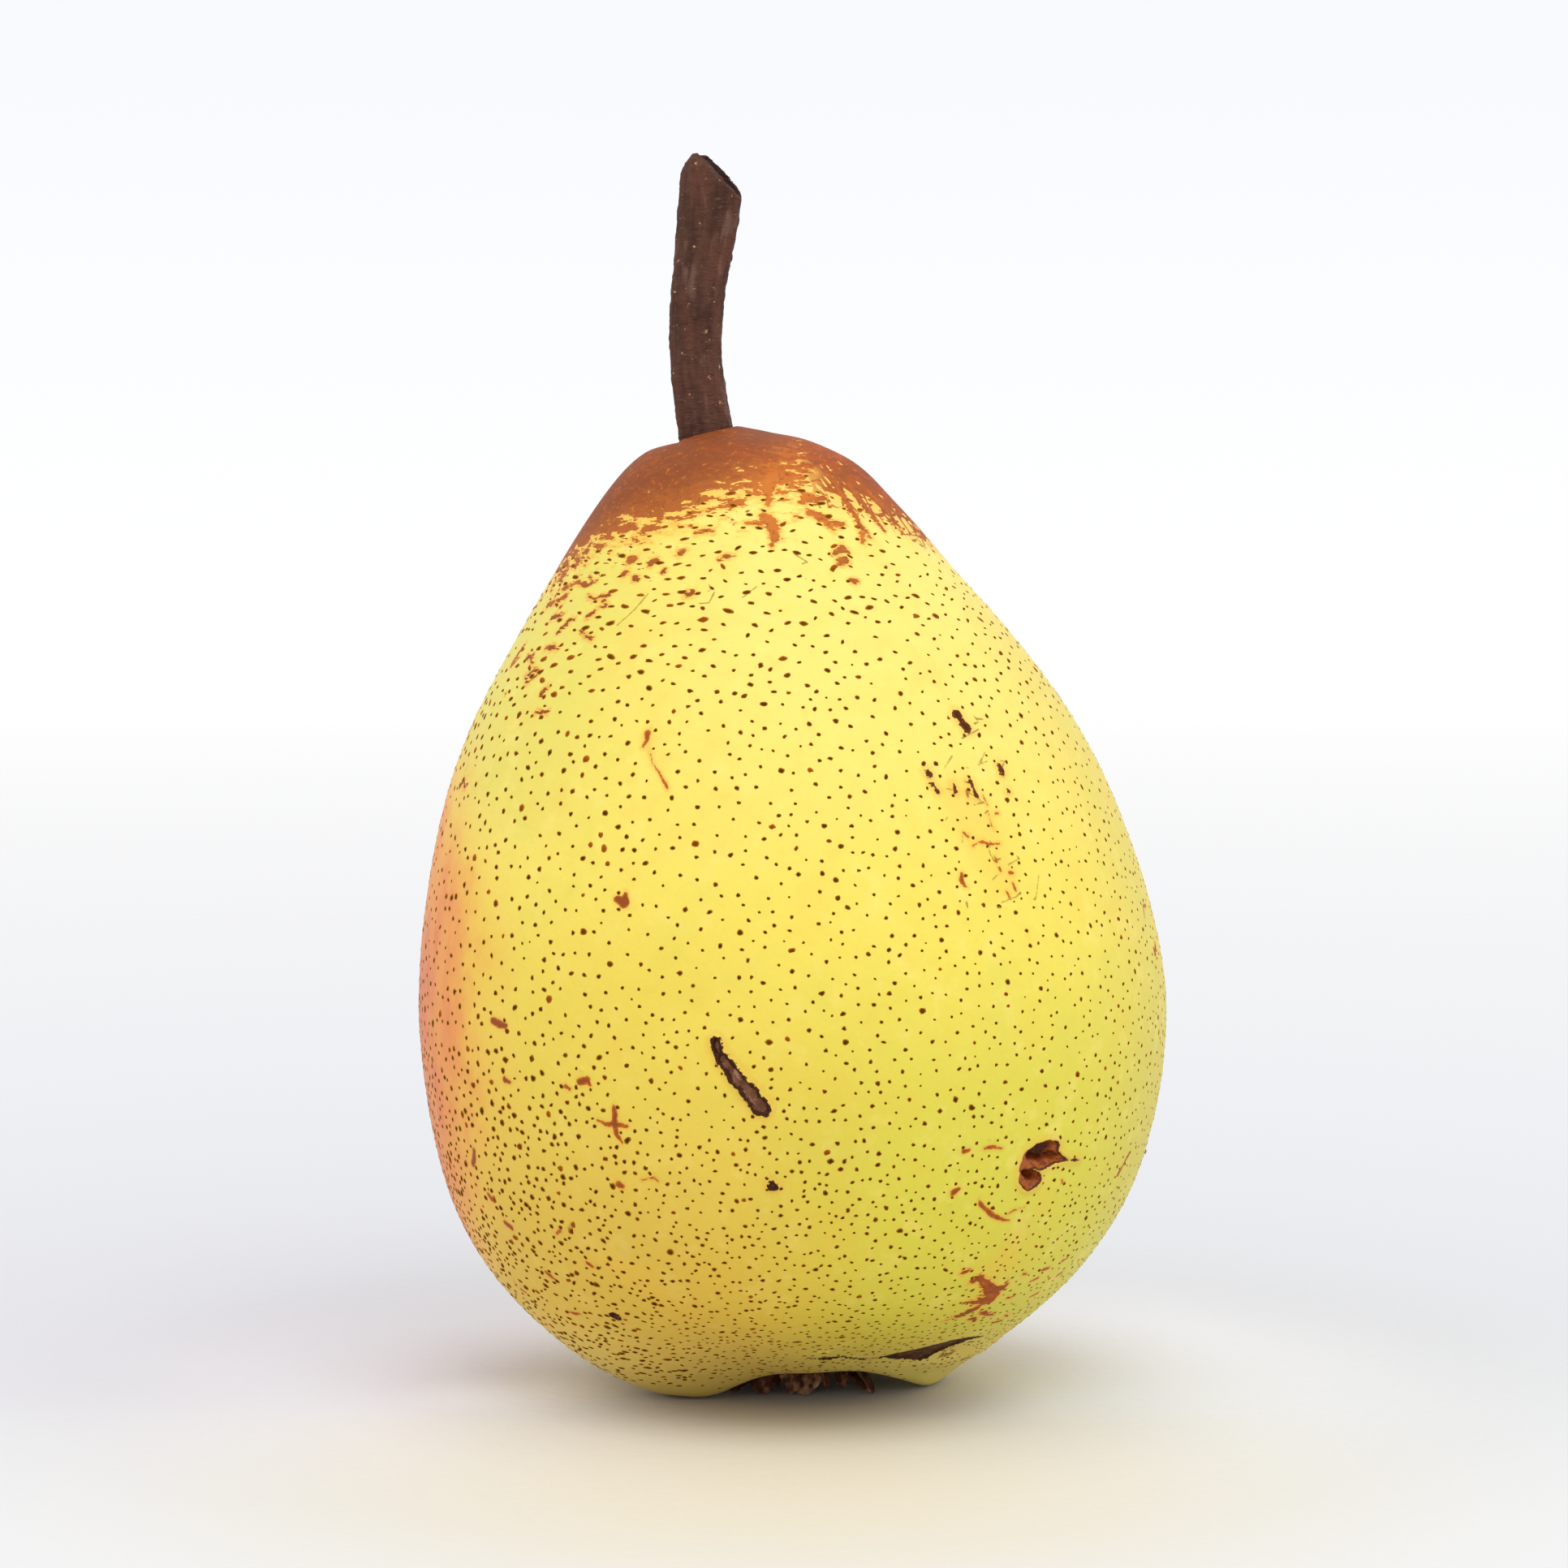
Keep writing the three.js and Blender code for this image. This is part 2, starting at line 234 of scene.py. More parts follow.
# %% Write down the blemishes
BLEMISHES = {
    "scar": [  # the long corky scar on the belly, and small dry scars
        [(-10.9, 34.9, 0.4), (-10.8, 34.4, 0.54), (-10.5, 33.9, 0.42)],
        [(-10.4, 33.6, 0.32), (-9.9, 33.3, 0.6), (-8.9, 32.6, 0.58), (-7.9, 31.8, 0.72), (-7.0, 31.2, 0.62)],
        [(-7.0, 31.2, 0.62), (-5.8, 30.4, 0.78), (-5.1, 29.8, 0.7), (-4.5, 29.4, 0.8), (-3.9, 29.1, 0.62)],
        [(35.0, 61.8, 0.46), (35.6, 61.1, 0.4), (36.3, 60.6, 0.48)],
        [(25.1, 57.0, 0.3), (25.4, 56.8, 0.3)],
        [(41.0, 57.4, 0.22), (41.3, 56.8, 0.32)],
        [(33.4, 56.1, 0.26), (33.7, 55.6, 0.12), (34.1, 54.9, 0.22)],
        [(29.7, 55.9, 0.16), (29.9, 55.4, 0.18)],
        [(25.6, 56.0, 0.2), (26.4, 55.4, 0.14)],
        [(41.4, 55.2, 0.2)],
        [(-2.7, 22.5, 0.42), (-2.4, 22.4, 0.36)],
        [(-35.9, 9.7, 0.34), (-35.0, 9.5, 0.4)],
    ],
    "peck": [  # a beak's mark: a bowl with a tail to the right and a lower pocket
        [(39.0, 23.1, 0.75), (39.8, 23.8, 1.0), (41.3, 24.0, 1.2), (42.9, 24.2, 1.15), (44.2, 24.5, 0.75)],
        [(42.2, 23.4, 0.8), (44.4, 23.8, 0.75), (46.2, 23.5, 0.35), (48.0, 23.25, 0.1)],
        [(38.8, 22.9, 0.55), (39.3, 22.2, 0.8), (40.3, 21.9, 0.98), (41.3, 21.9, 0.75)],
        [(48.6, 23.2, 0.1), (49.6, 23.2, 0.17), (50.6, 23.1, 0.08)],
    ],
    "pit": [  # the deep dark parts of the peck mark
        [(40.5, 23.9, 0.5), (41.7, 24.2, 0.85), (43.2, 24.4, 0.7), (44.2, 24.6, 0.35)],
        [(42.6, 23.7, 0.5), (44.0, 23.9, 0.45), (45.6, 23.7, 0.26)],
        [(39.8, 22.4, 0.3), (40.8, 22.2, 0.5), (41.4, 22.0, 0.35)],
    ],
    "russet": [  # rusty patches
        [(34.6, 12.9, 0.34), (35.6, 13.2, 0.36), (37.2, 12.7, 0.4), (38.6, 12.2, 0.5), (40.4, 11.6, 0.62)],
        [(40.4, 11.6, 0.62), (41.7, 11.2, 0.8), (42.0, 10.6, 0.72), (40.8, 10.4, 0.5)],
        [(42.0, 11.6, 0.55), (43.4, 11.8, 0.3), (43.3, 12.3, 0.1)],
        [(40.6, 10.7, 0.6), (38.8, 10.6, 0.4), (37.0, 10.7, 0.3), (35.4, 10.7, 0.1)],
        [(40.6, 11.4, 0.3), (38.6, 11.2, 0.26)],
        [(36.4, 9.1, 0.14), (37.6, 9.2, 0.36), (39.0, 9.5, 0.4), (40.4, 9.8, 0.3)],
        [(34.2, 8.7, 0.1), (35.4, 9.0, 0.2)],
        [(40.6, 9.9, 0.3), (40.0, 9.5, 0.2)],
        [(42.0, 8.5, 0.2), (43.2, 8.5, 0.26), (44.4, 8.2, 0.12)],
        [(42.6, 9.3, 0.2), (44.0, 9.1, 0.26), (47.0, 8.7, 0.2), (48.6, 8.6, 0.08)],
        [(52.6, 7.6, 0.1), (54.4, 7.6, 0.14)],
        [(53.6, 8.3, 0.12), (55.4, 8.1, 0.1)],
        [(47.4, 10.5, 0.12), (48.8, 10.6, 0.08)],
        [(31.5, 13.9, 0.24), (32.4, 14.0, 0.2)],
        [(-8.6, 83.2, 1.0), (-8.3, 82.2, 0.6), (-8.6, 81.3, 0.7), (-8.1, 80.6, 0.4), (-7.9, 79.9, 0.2)],
        [(-8.4, 82.4, 0.5), (-5.0, 82.2, 0.25), (-3.0, 82.0, 0.1)],
        [(-8.4, 78.8, 0.45), (-6.6, 78.4, 0.62), (-5.2, 77.8, 0.55), (-4.6, 77.0, 0.4), (-5.6, 76.3, 0.14)],
        [(-6.8, 78.6, 0.3), (-10.5, 78.2, 0.24), (-14.5, 78.3, 0.06)],
        [(-4.6, 77.1, 0.3), (-2.4, 76.9, 0.08)],
        [(5.0, 80.1, 0.3), (7.4, 80.6, 0.5), (10.5, 80.4, 0.42), (15.1, 80.5, 0.3)],
        [(8.0, 79.2, 0.4), (11.5, 78.8, 0.5), (14.5, 78.4, 0.3), (19.0, 78.2, 0.36), (21.0, 78.3, 0.15)],
        [(13.2, 78.4, 0.3), (15.6, 77.8, 0.26)],
        [(13.4, 75.6, 0.16), (15.4, 75.8, 0.24), (17.8, 76.1, 0.36), (19.0, 75.8, 0.16)],
        [(15.8, 74.9, 0.36), (17.4, 75.0, 0.44)],
        [(18.3, 73.2, 0.3), (19.4, 73.2, 0.26)],
        [(22.0, 82.4, 0.5), (25.0, 80.8, 0.42), (27.4, 79.2, 0.3), (28.6, 77.9, 0.32), (31.0, 77.0, 0.1)],
        [(27.6, 77.4, 0.34), (26.4, 76.6, 0.12)],
        [(33.0, 81.6, 0.5), (35.2, 80.0, 0.4), (38.2, 78.6, 0.34), (40.0, 77.6, 0.12)],
        [(46.0, 81.0, 0.5), (48.5, 79.8, 0.4), (51.0, 78.6, 0.3), (53.0, 77.8, 0.1)],
        [(-46.0, 75.1, 0.42), (-45.0, 75.2, 0.36)],
        [(-38.8, 74.8, 0.36), (-37.6, 75.0, 0.3)],
        [(-45.5, 73.9, 0.36)],
        [(-41.8, 73.4, 0.3), (-41.0, 73.4, 0.24)],
        [(-31.5, 75.6, 0.3), (-30.4, 75.8, 0.24)],
        [(-34.0, 74.1, 0.3)],
        [(-25.6, 72.1, 0.3), (-24.6, 72.3, 0.26)],
        [(-28.4, 77.4, 0.2), (-25.6, 77.6, 0.26), (-23.6, 77.5, 0.14)],
        [(-19.6, 75.1, 0.14), (-17.6, 75.4, 0.26), (-16.0, 75.5, 0.1)],
        [(-58.6, 68.7, 0.2), (-56.3, 69.7, 0.26), (-55.0, 69.8, 0.1)],
        [(-64.2, 69.9, 0.3), (-60.0, 70.2, 0.12)],
        [(-73.0, 65.8, 0.3), (-71.6, 67.4, 0.18)],
        [(-51.0, 70.0, 0.16), (-49.4, 70.4, 0.26)],
        [(-54.4, 63.4, 0.26), (-53.6, 64.0, 0.16)],
        [(-66.0, 72.4, 0.3), (-61.0, 73.0, 0.16), (-57.0, 72.8, 0.24), (-54.0, 73.2, 0.08)],
        [(-70.0, 71.0, 0.36), (-66.5, 71.3, 0.2), (-63.0, 71.8, 0.28)],
        [(-52.0, 71.6, 0.1), (-48.6, 71.9, 0.22), (-46.8, 72.0, 0.1)],
        [(-60.5, 67.2, 0.16), (-58.2, 67.4, 0.26), (-56.0, 67.2, 0.1)],
        [(-66.4, 66.4, 0.24), (-63.8, 66.6, 0.12)],
        [(-62.5, 64.8, 0.12), (-60.6, 65.3, 0.24), (-59.4, 65.4, 0.1)],
    ],
    "graze": [  # reddish scrapes and flecks
        [(30.9, 20.6, 0.06), (31.6, 20.1, 0.2), (33.7, 19.2, 0.24), (36.0, 18.6, 0.2), (37.8, 18.4, 0.07)],
        [(36.8, 18.9, 0.05), (38.1, 19.3, 0.08), (40.4, 19.5, 0.03)],
        [(67.6, 22.4, 0.22), (66.2, 21.6, 0.14), (65.0, 20.8, 0.24)],
        [(27.3, 25.0, 0.24), (28.1, 25.1, 0.14)],
        [(30.8, 25.1, 0.14), (32.2, 25.2, 0.18), (33.9, 25.0, 0.1)],
        [(26.1, 21.4, 0.3), (27.0, 21.7, 0.2)],
        [(47.5, 21.5, 0.14), (47.7, 21.3, 0.14)],
        [(32.6, 51.1, 0.06), (33.5, 51.1, 0.17), (34.6, 50.9, 0.1), (36.9, 50.9, 0.08)],
        [(31.3, 50.8, 0.08), (32.2, 51.0, 0.06)],
        [(28.4, 48.5, 0.17), (28.2, 48.0, 0.24), (28.6, 47.5, 0.14), (29.1, 47.4, 0.06)],
        [(35.8, 53.4, 0.05), (35.9, 52.5, 0.06), (36.3, 52.1, 0.04)],
        [(37.4, 53.4, 0.15), (38.1, 53.4, 0.1)],
        [(35.3, 49.8, 0.1), (35.5, 49.4, 0.12)],
        [(35.8, 48.9, 0.13), (36.0, 48.6, 0.1)],
        [(37.6, 48.4, 0.14), (38.4, 48.4, 0.12)],
        [(37.9, 47.5, 0.12), (38.2, 46.9, 0.14)],
        [(36.4, 46.8, 0.1), (36.7, 46.4, 0.12)],
        [(30.0, 51.9, 0.14), (30.8, 51.6, 0.12)],
        [(32.0, 55.4, 0.08), (32.4, 54.9, 0.09)],
        [(35.6, 55.0, 0.05), (36.0, 54.2, 0.06)],
        [(-26.6, 60.4, 0.3), (-26.4, 59.8, 0.2), (-26.9, 59.2, 0.12)],
        [(-25.6, 59.0, 0.04), (-24.4, 57.8, 0.05), (-22.8, 57.0, 0.1),
         (-21.8, 56.3, 0.14), (-21.0, 55.7, 0.12)],
        [(-27.6, 46.4, 0.34), (-26.4, 46.2, 0.5), (-26.3, 46.9, 0.2)],
        [(-50.8, 35.3, 0.3), (-49.2, 35.1, 0.4), (-47.6, 35.0, 0.25)],
        [(-59.0, 23.4, 0.27), (-59.3, 22.8, 0.3), (-60.2, 22.1, 0.35)],
        [(-48.2, 30.3, 0.3), (-47.0, 30.1, 0.14)],
        [(-33.0, 30.8, 0.35), (-31.6, 31.0, 0.32), (-31.2, 30.6, 0.14)],
        [(-57.2, 19.6, 0.22), (-56.4, 19.2, 0.27)],
        [(-54.4, 17.2, 0.27), (-52.8, 16.8, 0.27)],
        [(-27.3, 28.9, 0.16), (-27.1, 28.2, 0.3), (-27.3, 27.2, 0.27),
         (-26.9, 26.4, 0.22), (-26.2, 25.8, 0.11)],
        [(-30.2, 27.6, 0.11), (-28.8, 27.3, 0.19), (-27.3, 27.4, 0.27), (-25.2, 27.2, 0.14)],
        [(-35.6, 30.3, 0.19), (-34.9, 30.1, 0.16)],
        [(-27.4, 22.1, 0.32), (-26.8, 22.0, 0.22)],
        [(-47.8, 13.1, 0.16), (-47.0, 12.8, 0.24), (-46.2, 12.5, 0.11)],
        [(-47.4, 9.3, 0.11), (-45.8, 9.2, 0.22), (-44.4, 9.3, 0.08)],
        [(-60.0, 10.6, 0.19), (-58.8, 10.4, 0.14)],
        [(52.2, 12.9, 0.22), (54.0, 13.0, 0.14)],
        [(50.4, 11.9, 0.1), (52.4, 12.1, 0.18)],
        [(46.6, 12.9, 0.16), (47.6, 12.8, 0.1)],
        [(60.3, 11.8, 0.2), (61.8, 12.0, 0.12)],
        [(56.0, 10.0, 0.12), (58.0, 10.2, 0.18)],
        [(57.6, 13.4, 0.16), (59.0, 13.6, 0.1)],
        [(-23.4, 22.6, 0.06), (-21.4, 22.9, 0.1), (-20.8, 22.6, 0.1)],
        [(-41.6, 17.0, 0.14), (-40.6, 17.3, 0.19)],
        [(-36.8, 14.6, 0.16), (-35.9, 14.3, 0.19)],
    ],
    "tick": [],  # hair-thin olive lines where the skin has stretched, all of them scattered below
    "haze": [  # tender areas round some of the marks, a little more orange
        [(30.0, 54.5, 2.4), (34.0, 52.0, 3.2), (36.0, 48.0, 2.4)],
        [(-26.6, 60.0, 0.8), (-21.0, 55.6, 0.6)],
        [(-33.0, 15.5, 1.6), (-24.0, 13.0, 2.4)],
        [(44.0, 20.0, 1.5), (38.0, 13.0, 2.6)],
        [(-26.0, 34.0, 1.2), (-27.0, 33.0, 1.0)],
        [(50.0, 4.6, 0.6), (60.0, 4.6, 1.0), (68.0, 3.6, 0.8)],
    ],
    "scab": [  # small dry brown crumbs under the crack
        [(50.8, 4.7, 0.1), (51.8, 4.1, 0.26), (53.5, 4.2, 0.36), (54.8, 4.5, 0.16)],
        [(50.0, 5.1, 0.14), (51.6, 5.0, 0.18)],
        [(54.4, 5.4, 0.12), (56.6, 5.3, 0.14)],
        [(65.6, 3.3, 0.2), (67.4, 3.2, 0.34), (69.4, 3.3, 0.2)],
        [(76.0, 3.1, 0.12), (79.0, 3.4, 0.16)],
    ],
}

SOFT = ("haze",)  # kinds without an edge

# The crack where the last lobe folds under: direction, the height of its upper lip, and how wide it gapes
CRACK = [
    (4, 5.0, 0.0), (8, 5.05, 0.2), (12, 5.1, 0.36), (15.6, 5.15, 0.3), (17, 4.95, 0.1), (23.6, 4.5, 0.12),
    (26.4, 4.45, 0.14), (29.4, 4.6, 0.2), (33.6, 5.0, 0.7), (37.7, 5.3, 1.1), (41.2, 5.6, 1.5),
    (44.5, 5.85, 1.9), (46.5, 5.95, 2.0), (48.5, 6.05, 1.2), (51.3, 6.1, 0.75), (54, 6.0, 0.4),
    (56, 5.9, 0.16), (58, 5.8, 0.0),
]

# %% Scatter more marks: rusty flecks high on the left, hair-thin lines, and more over the sides and the back
MARK_SEED = 5
SCATTERED = [  # kind, how many, widest radius, directions from and to, heights from and to
    ("russet", 11, 0.2, -76, -42, 58, 74),
    ("graze", 46, 0.26, 74, 288, 9, 72),
    ("russet", 16, 0.42, 74, 288, 9, 72),
    ("scar", 5, 0.4, 100, 288, 9, 72),
    ("haze", 6, 2.0, 74, 288, 9, 72),
    ("tick", 22, 0.08, 27, 42, 46, 62),
    ("tick", 6, 0.05, -40, 8, 70, 75),
]
scatter = np.random.default_rng(MARK_SEED)
for kind, many, widest, *ranges in SCATTERED:
    for _ in range(many):
        a, h = scatter.uniform(*ranges[:2]), scatter.uniform(*ranges[2:])
        row = [(a, h, widest * scatter.uniform(0.4, 1))]
        for _ in range(scatter.integers(1, 3)):
            a, h = a + scatter.normal(0, 2.0), h + scatter.normal(0, 0.6)
            row.append((a, h, widest * scatter.uniform(0.2, 0.8)))
        BLEMISHES[kind].append(row)

# %% Find the beads' places on the skin
chains = {
    kind: [np.array([[*on_skin(a, h), r] for a, h, r in beads]) for beads in rows]
    for kind, rows in BLEMISHES.items()
}
print("blemishes:", {kind: len(rows) for kind, rows in chains.items()})

# %% Measure how far points are from the blemishes
FARTHEST = 4.0  # millimetres; farther than this all is the same
TINY = 1e-9  # keeps a chain of one bead from dividing by nothing


def outside(points, rows):
    """How far outside the nearest of these chains each point is, in millimetres, and negative inside."""
    nearest = np.full(len(points), FARTHEST)
    for beads in rows:
        low, high = beads[:, :3].min(0) - FARTHEST, beads[:, :3].max(0) + FARTHEST
        near = np.flatnonzero((points > low).all(1) & (points < high).all(1))
        for start, end in zip(beads, beads[1:] if len(beads) > 1 else beads):
            step = end[:3] - start[:3]
            along = np.clip((points[near] - start[:3]) @ step / max(step @ step, TINY), 0, 1)
            centre = start[:3] + along[:, None] * step
            gap = np.linalg.norm(points[near] - centre, axis=1) - (start[3] + along * (end[3] - start[3]))
            nearest[near] = np.minimum(nearest[near], gap)
    return nearest


def outside_crack(points):
    """The same for the crack, which is a band along the skin."""
    degrees, height = round_and_height(points)
    along, lip, gape = np.array(CRACK).T
    half = np.interp(degrees, along, gape) / 2
    gap = np.abs(height - np.interp(degrees, along, lip) + half) - half
    return np.where((degrees < along[0]) | (degrees > along[-1]), FARTHEST, gap.clip(None, FARTHEST))


def gap_to(kind, points):
    """How far outside this kind of blemish each point is."""
    return outside_crack(points) if kind == "crack" else outside(points, chains[kind])


KINDS = [*chains, "crack"]
SHARP = [kind for kind in KINDS if kind not in SOFT]

# %% [markdown]
# ## Finer skin round the blemishes
# Rims, bowls and cracks are a few tenths of a millimetre across, far finer than the skin's faces. Cutting
# the whole skin that fine would take millions of faces, so only the faces close to a blemish are cut, round
# after round. Soft blemishes have no edge, so the skin stays as it is there.

# %% Cut the faces near blemishes
NEAR = 0.4  # how far from a blemish's edge the skin is cut fine, in millimetres
FINEST = 0.17  # no edge shorter than this is cut
ROUNDS = 4


def cut_near(mesh):
    """Halves the edges of faces that are near a blemish, in several rounds."""
    shape = bmesh.new()
    shape.from_mesh(mesh)
    for _ in range(ROUNDS):
        centres = np.array([f.calc_center_median()[:] for f in shape.faces]) / MM
        sizes = np.array([max(e.calc_length() for e in f.edges) for f in shape.faces]) / MM
        gap = np.minimum.reduce([gap_to(kind, centres) for kind in SHARP])
        wanted = (gap < NEAR + sizes / 2) & (sizes > FINEST)
        near_edges = (e for f, w in zip(shape.faces, wanted) if w for e in f.edges)
        edges = {e for e in near_edges if e.calc_length() > FINEST * MM}
        bmesh.ops.subdivide_edges(shape, edges=list(edges), cuts=1, use_grid_fill=True, smooth=1.0)
    wide = [f for f in shape.faces if len(f.verts) > 4]
    bmesh.ops.triangulate(shape, faces=wide)
    shape.to_mesh(mesh)
    shape.free()
    mesh.shade_smooth()


cut_near(fruit.data)
print("fruit after cutting:", sum(len(p.vertices) - 2 for p in fruit.data.polygons), "triangles")

# %% [markdown]
# ## Dents, rims and the stalk's collar
# The corky scar is a dry crust with a raised rim and a sunken middle. The peck mark is a bowl. The crack is a
# groove, and the rusty patches stand a hair above the skin. At the top the solid leaves a gap of working
# room round the stalk. On a real pear the flesh grows tight round the stalk, so the collar is drawn in.

# %% Shape the skin
skin = points_of(fruit.data)
facing = normals_of(fruit.data)
gaps = {kind: gap_to(kind, skin) for kind in KINDS}
for kind, gap in gaps.items():
    store(fruit.data, kind, gap)

UNEVEN = 0.2  # slow hollows, in millimetres
FINE_UNEVEN = 0.04
SCAR_DEPTH, SCAR_RIM = 0.4, 0.2
PECK_DEPTH, PIT_DEPTH, PECK_RIM = 0.55, 0.9, 0.1
CRACK_DEPTH, SCAB_DEPTH = 0.35, 0.15
LOBE_SWELL = 0.35  # how far the lobe under the crack stands out
RUSSET_STAND = 0.04


def rim(gap, place, width):
    """A smooth ridge, 1 high where the gap has this value."""
    return np.exp(-(((gap - place) / width) ** 2))


crumble = waves(skin, 0.8, 3)
lift = -UNEVEN * (0.5 - 0.5 * waves(skin, 11.0, 1)).clip(0, 1)
lift -= FINE_UNEVEN * (0.5 - 0.5 * waves(skin, 2.6, 2)).clip(0, 1)
lift -= SCAR_DEPTH * ease(0.0, -0.7, gaps["scar"]) * (1 + 0.9 * crumble)
lift += SCAR_RIM * rim(gaps["scar"] + 0.1 * crumble, -0.1, 0.15) * (0.8 + 0.8 * crumble)
lift -= PECK_DEPTH * ease(0.0, -0.35, gaps["peck"] + 0.1 * crumble)
lift -= PIT_DEPTH * ease(0.1, -0.5, gaps["pit"]) * (1 + 0.4 * crumble)
lift += PECK_RIM * rim(gaps["peck"], 0.1, 0.2)
lift -= SCAB_DEPTH * ease(0.1, -0.4, gaps["scab"]) * (0.6 + crumble)
degrees, height = round_and_height(skin)
lift += LOBE_SWELL * ease(30, 60, degrees) * ease(96, 74, degrees) * rim(height, 3.6, 1.0)
lift += RUSSET_STAND * ease(0.1, -0.1, gaps["russet"]) * (1 + crumble)
skin += lift[:, None] * facing
inwards = (AXIS - skin[:, :2]) / np.linalg.norm(AXIS - skin[:, :2], axis=1)[:, None].clip(1)
skin[:, :2] += inwards * (CRACK_DEPTH * ease(0.05, -0.3, gaps["crack"]))[:, None]

# %% Draw the collar in to the stalk
STALK_FOOT = (-7.85, -1.2)  # the stalk's middle where it leaves the fruit
COLLAR_FROM, COLLAR_TO = 83.5, 85.0  # heights over which the collar starts
COLLAR_REACH = 5.4  # how far from the stalk's middle the skin moves at all
COLLAR_FULL = 3.2  # and how far out it moves its full way
COLLAR_PULL = 0.78

away = skin[:, :2] - STALK_FOOT
distance = np.linalg.norm(away, axis=1)
pull = COLLAR_PULL * ease(COLLAR_FROM, COLLAR_TO, skin[:, 2]) * ease(COLLAR_REACH, COLLAR_FULL, distance)
skin[:, :2] -= away / distance[:, None].clip(1e-6) * np.minimum(pull, distance * 0.5)[:, None]
move_points(fruit.data, skin)
print("skin moved by", lift.min().round(2), "to", lift.max().round(2), "mm")

# %% [markdown]
# ## Writing shader sums as Python
# A material is a graph of nodes. Wiring each sum by hand hides what it says, so a small class wraps one
# output of a node: adding or multiplying wrapped outputs adds the Math nodes that do it. Every other node
# comes from one method, which takes the node's type, its settings, and what goes into its sockets.


# %% Wrap a socket
class Wire:
    """An output of a node in a material, with arithmetic."""

    def __init__(self, tree, socket=None):
        self.tree, self.socket = tree, socket

    def node(self, kind, settings=None, inputs=None, output=0):
        """Adds a node: its settings, then its sockets' values or wires. Returns an output's wire."""
        made = self.tree.nodes.new(kind)
        for name, value in (settings or {}).items():
            setattr(made, name, value)
        for name, value in (inputs or {}).items():
            if isinstance(value, Wire):
                self.tree.links.new(value.socket, made.inputs[name])
            else:
                made.inputs[name].default_value = value
        return Wire(self.tree, made.outputs[output])

    def maths(self, operation, *values):
        return self.node("ShaderNodeMath", {"operation": operation}, dict(enumerate(values)))

    def __add__(self, other):
        return self.maths("ADD", self, other)

    def __sub__(self, other):
        return self.maths("SUBTRACT", self, other)

    def __rsub__(self, other):
        return self.maths("SUBTRACT", other, self)

    def __mul__(self, other):
        return self.maths("MULTIPLY", self, other)

    def __truediv__(self, other):
        return self.maths("DIVIDE", self, other)

    def __neg__(self):
        return self.maths("MULTIPLY", self, -1.0)

    __radd__, __rmul__ = __add__, __mul__

    def least(self, other):
        return self.maths("MINIMUM", self, other)

    def most(self, other):
        return self.maths("MAXIMUM", self, other)

    def root(self):
        return self.maths("SQRT", self)

    def log(self, base):
        return self.maths("LOGARITHM", self, base)

    def stored(self, name):
        """The number that the mesh keeps under this name at each point."""
        return self.node("ShaderNodeAttribute", {"attribute_name": name}, output="Fac")

    def along(self, direction):
        """How far this place lies along a direction."""
        settings, inputs = {"operation": "DOT_PRODUCT"}, {0: self, 1: direction}
        return self.node("ShaderNodeVectorMath", settings, inputs, "Value")

    def parts(self):
        """The three parts of this place or direction."""
        split = self.node("ShaderNodeSeparateXYZ", None, {0: self})
        return [Wire(self.tree, output) for output in split.socket.node.outputs]

    def ease(self, low, high):
        """0 below low and 1 above high, with a smooth rise between. With low above high it falls."""
        flips = low > high
        low, high = min(low, high), max(low, high)
        ends = {"To Min": float(flips), "To Max": float(not flips)}
        return self.node(
            "ShaderNodeMapRange",
            {"interpolation_type": "SMOOTHSTEP"},
            {"Value": self, "From Min": low, "From Max": high, **ends},
        )

    def over(self, under, paint):
        """Lays paint over the colour under it, as much as this wire says."""
        return self.node("ShaderNodeMix", {"data_type": "RGBA"}, {0: self, 6: under, 7: paint}, 2)

    def stretched(self, x, y, z):
        """This place with each of its parts multiplied."""
        return self.node("ShaderNodeVectorMath", {"operation": "MULTIPLY"}, {0: self, 1: (x, y, z)})

    def shifted(self, by):
        """This place moved, so that a cloud in it is a different one."""
        return self.node("ShaderNodeVectorMath", {"operation": "ADD"}, {0: self, 1: by})

    def cloud(self, size, detail=3.0, roughness=0.55):
        """Random values from about -1 to 1 at this place in millimetres, with blotches of that size."""
        settings = {"noise_dimensions": "3D"}
        inputs = {"Vector": self, "Scale": 1 / size, "Detail": detail, "Roughness": roughness}
        return self.node("ShaderNodeTexNoise", settings, inputs) * 4.0 - 2.0


def colour(red, green, blue):
    """A screen colour from 0 to 255, as the linear light that a shader works in."""
    def linear(v):
        v /= 255
        return v / 12.92 if v <= 0.04045 else ((v + 0.055) / 1.055) ** 2.4
    return (linear(red), linear(green), linear(blue), 1.0)


def new_material(name):
    """An empty material, its shader, a wire to start sums from, and the place on the piece in millimetres."""
    material = bpy.data.materials.new(name)
    material.use_nodes = True
    tree = material.node_tree
    shader = tree.nodes["Principled BSDF"]
    start = Wire(tree)
    place = start.node("ShaderNodeTexCoord", output="Object")
    place = place.node("ShaderNodeVectorMath", {"operation": "SCALE"}, {0: place, "Scale": 1 / MM})
    return material, shader, start, place


def finish_material(shader, base, rough, height, **uniform):
    """Feeds colour, roughness and a height in millimetres to the shader; the rest are plain numbers."""
    bumped = height.node("ShaderNodeBump", None, {"Height": height, "Distance": MM, "Strength": 1.0})
    for wire, name in ((base, "Base Color"), (rough, "Roughness"), (bumped, "Normal")):
        wire.tree.links.new(wire.socket, shader.inputs[name])
    for name, value in uniform.items():
        shader.inputs[name.replace("_", " ")].default_value = value


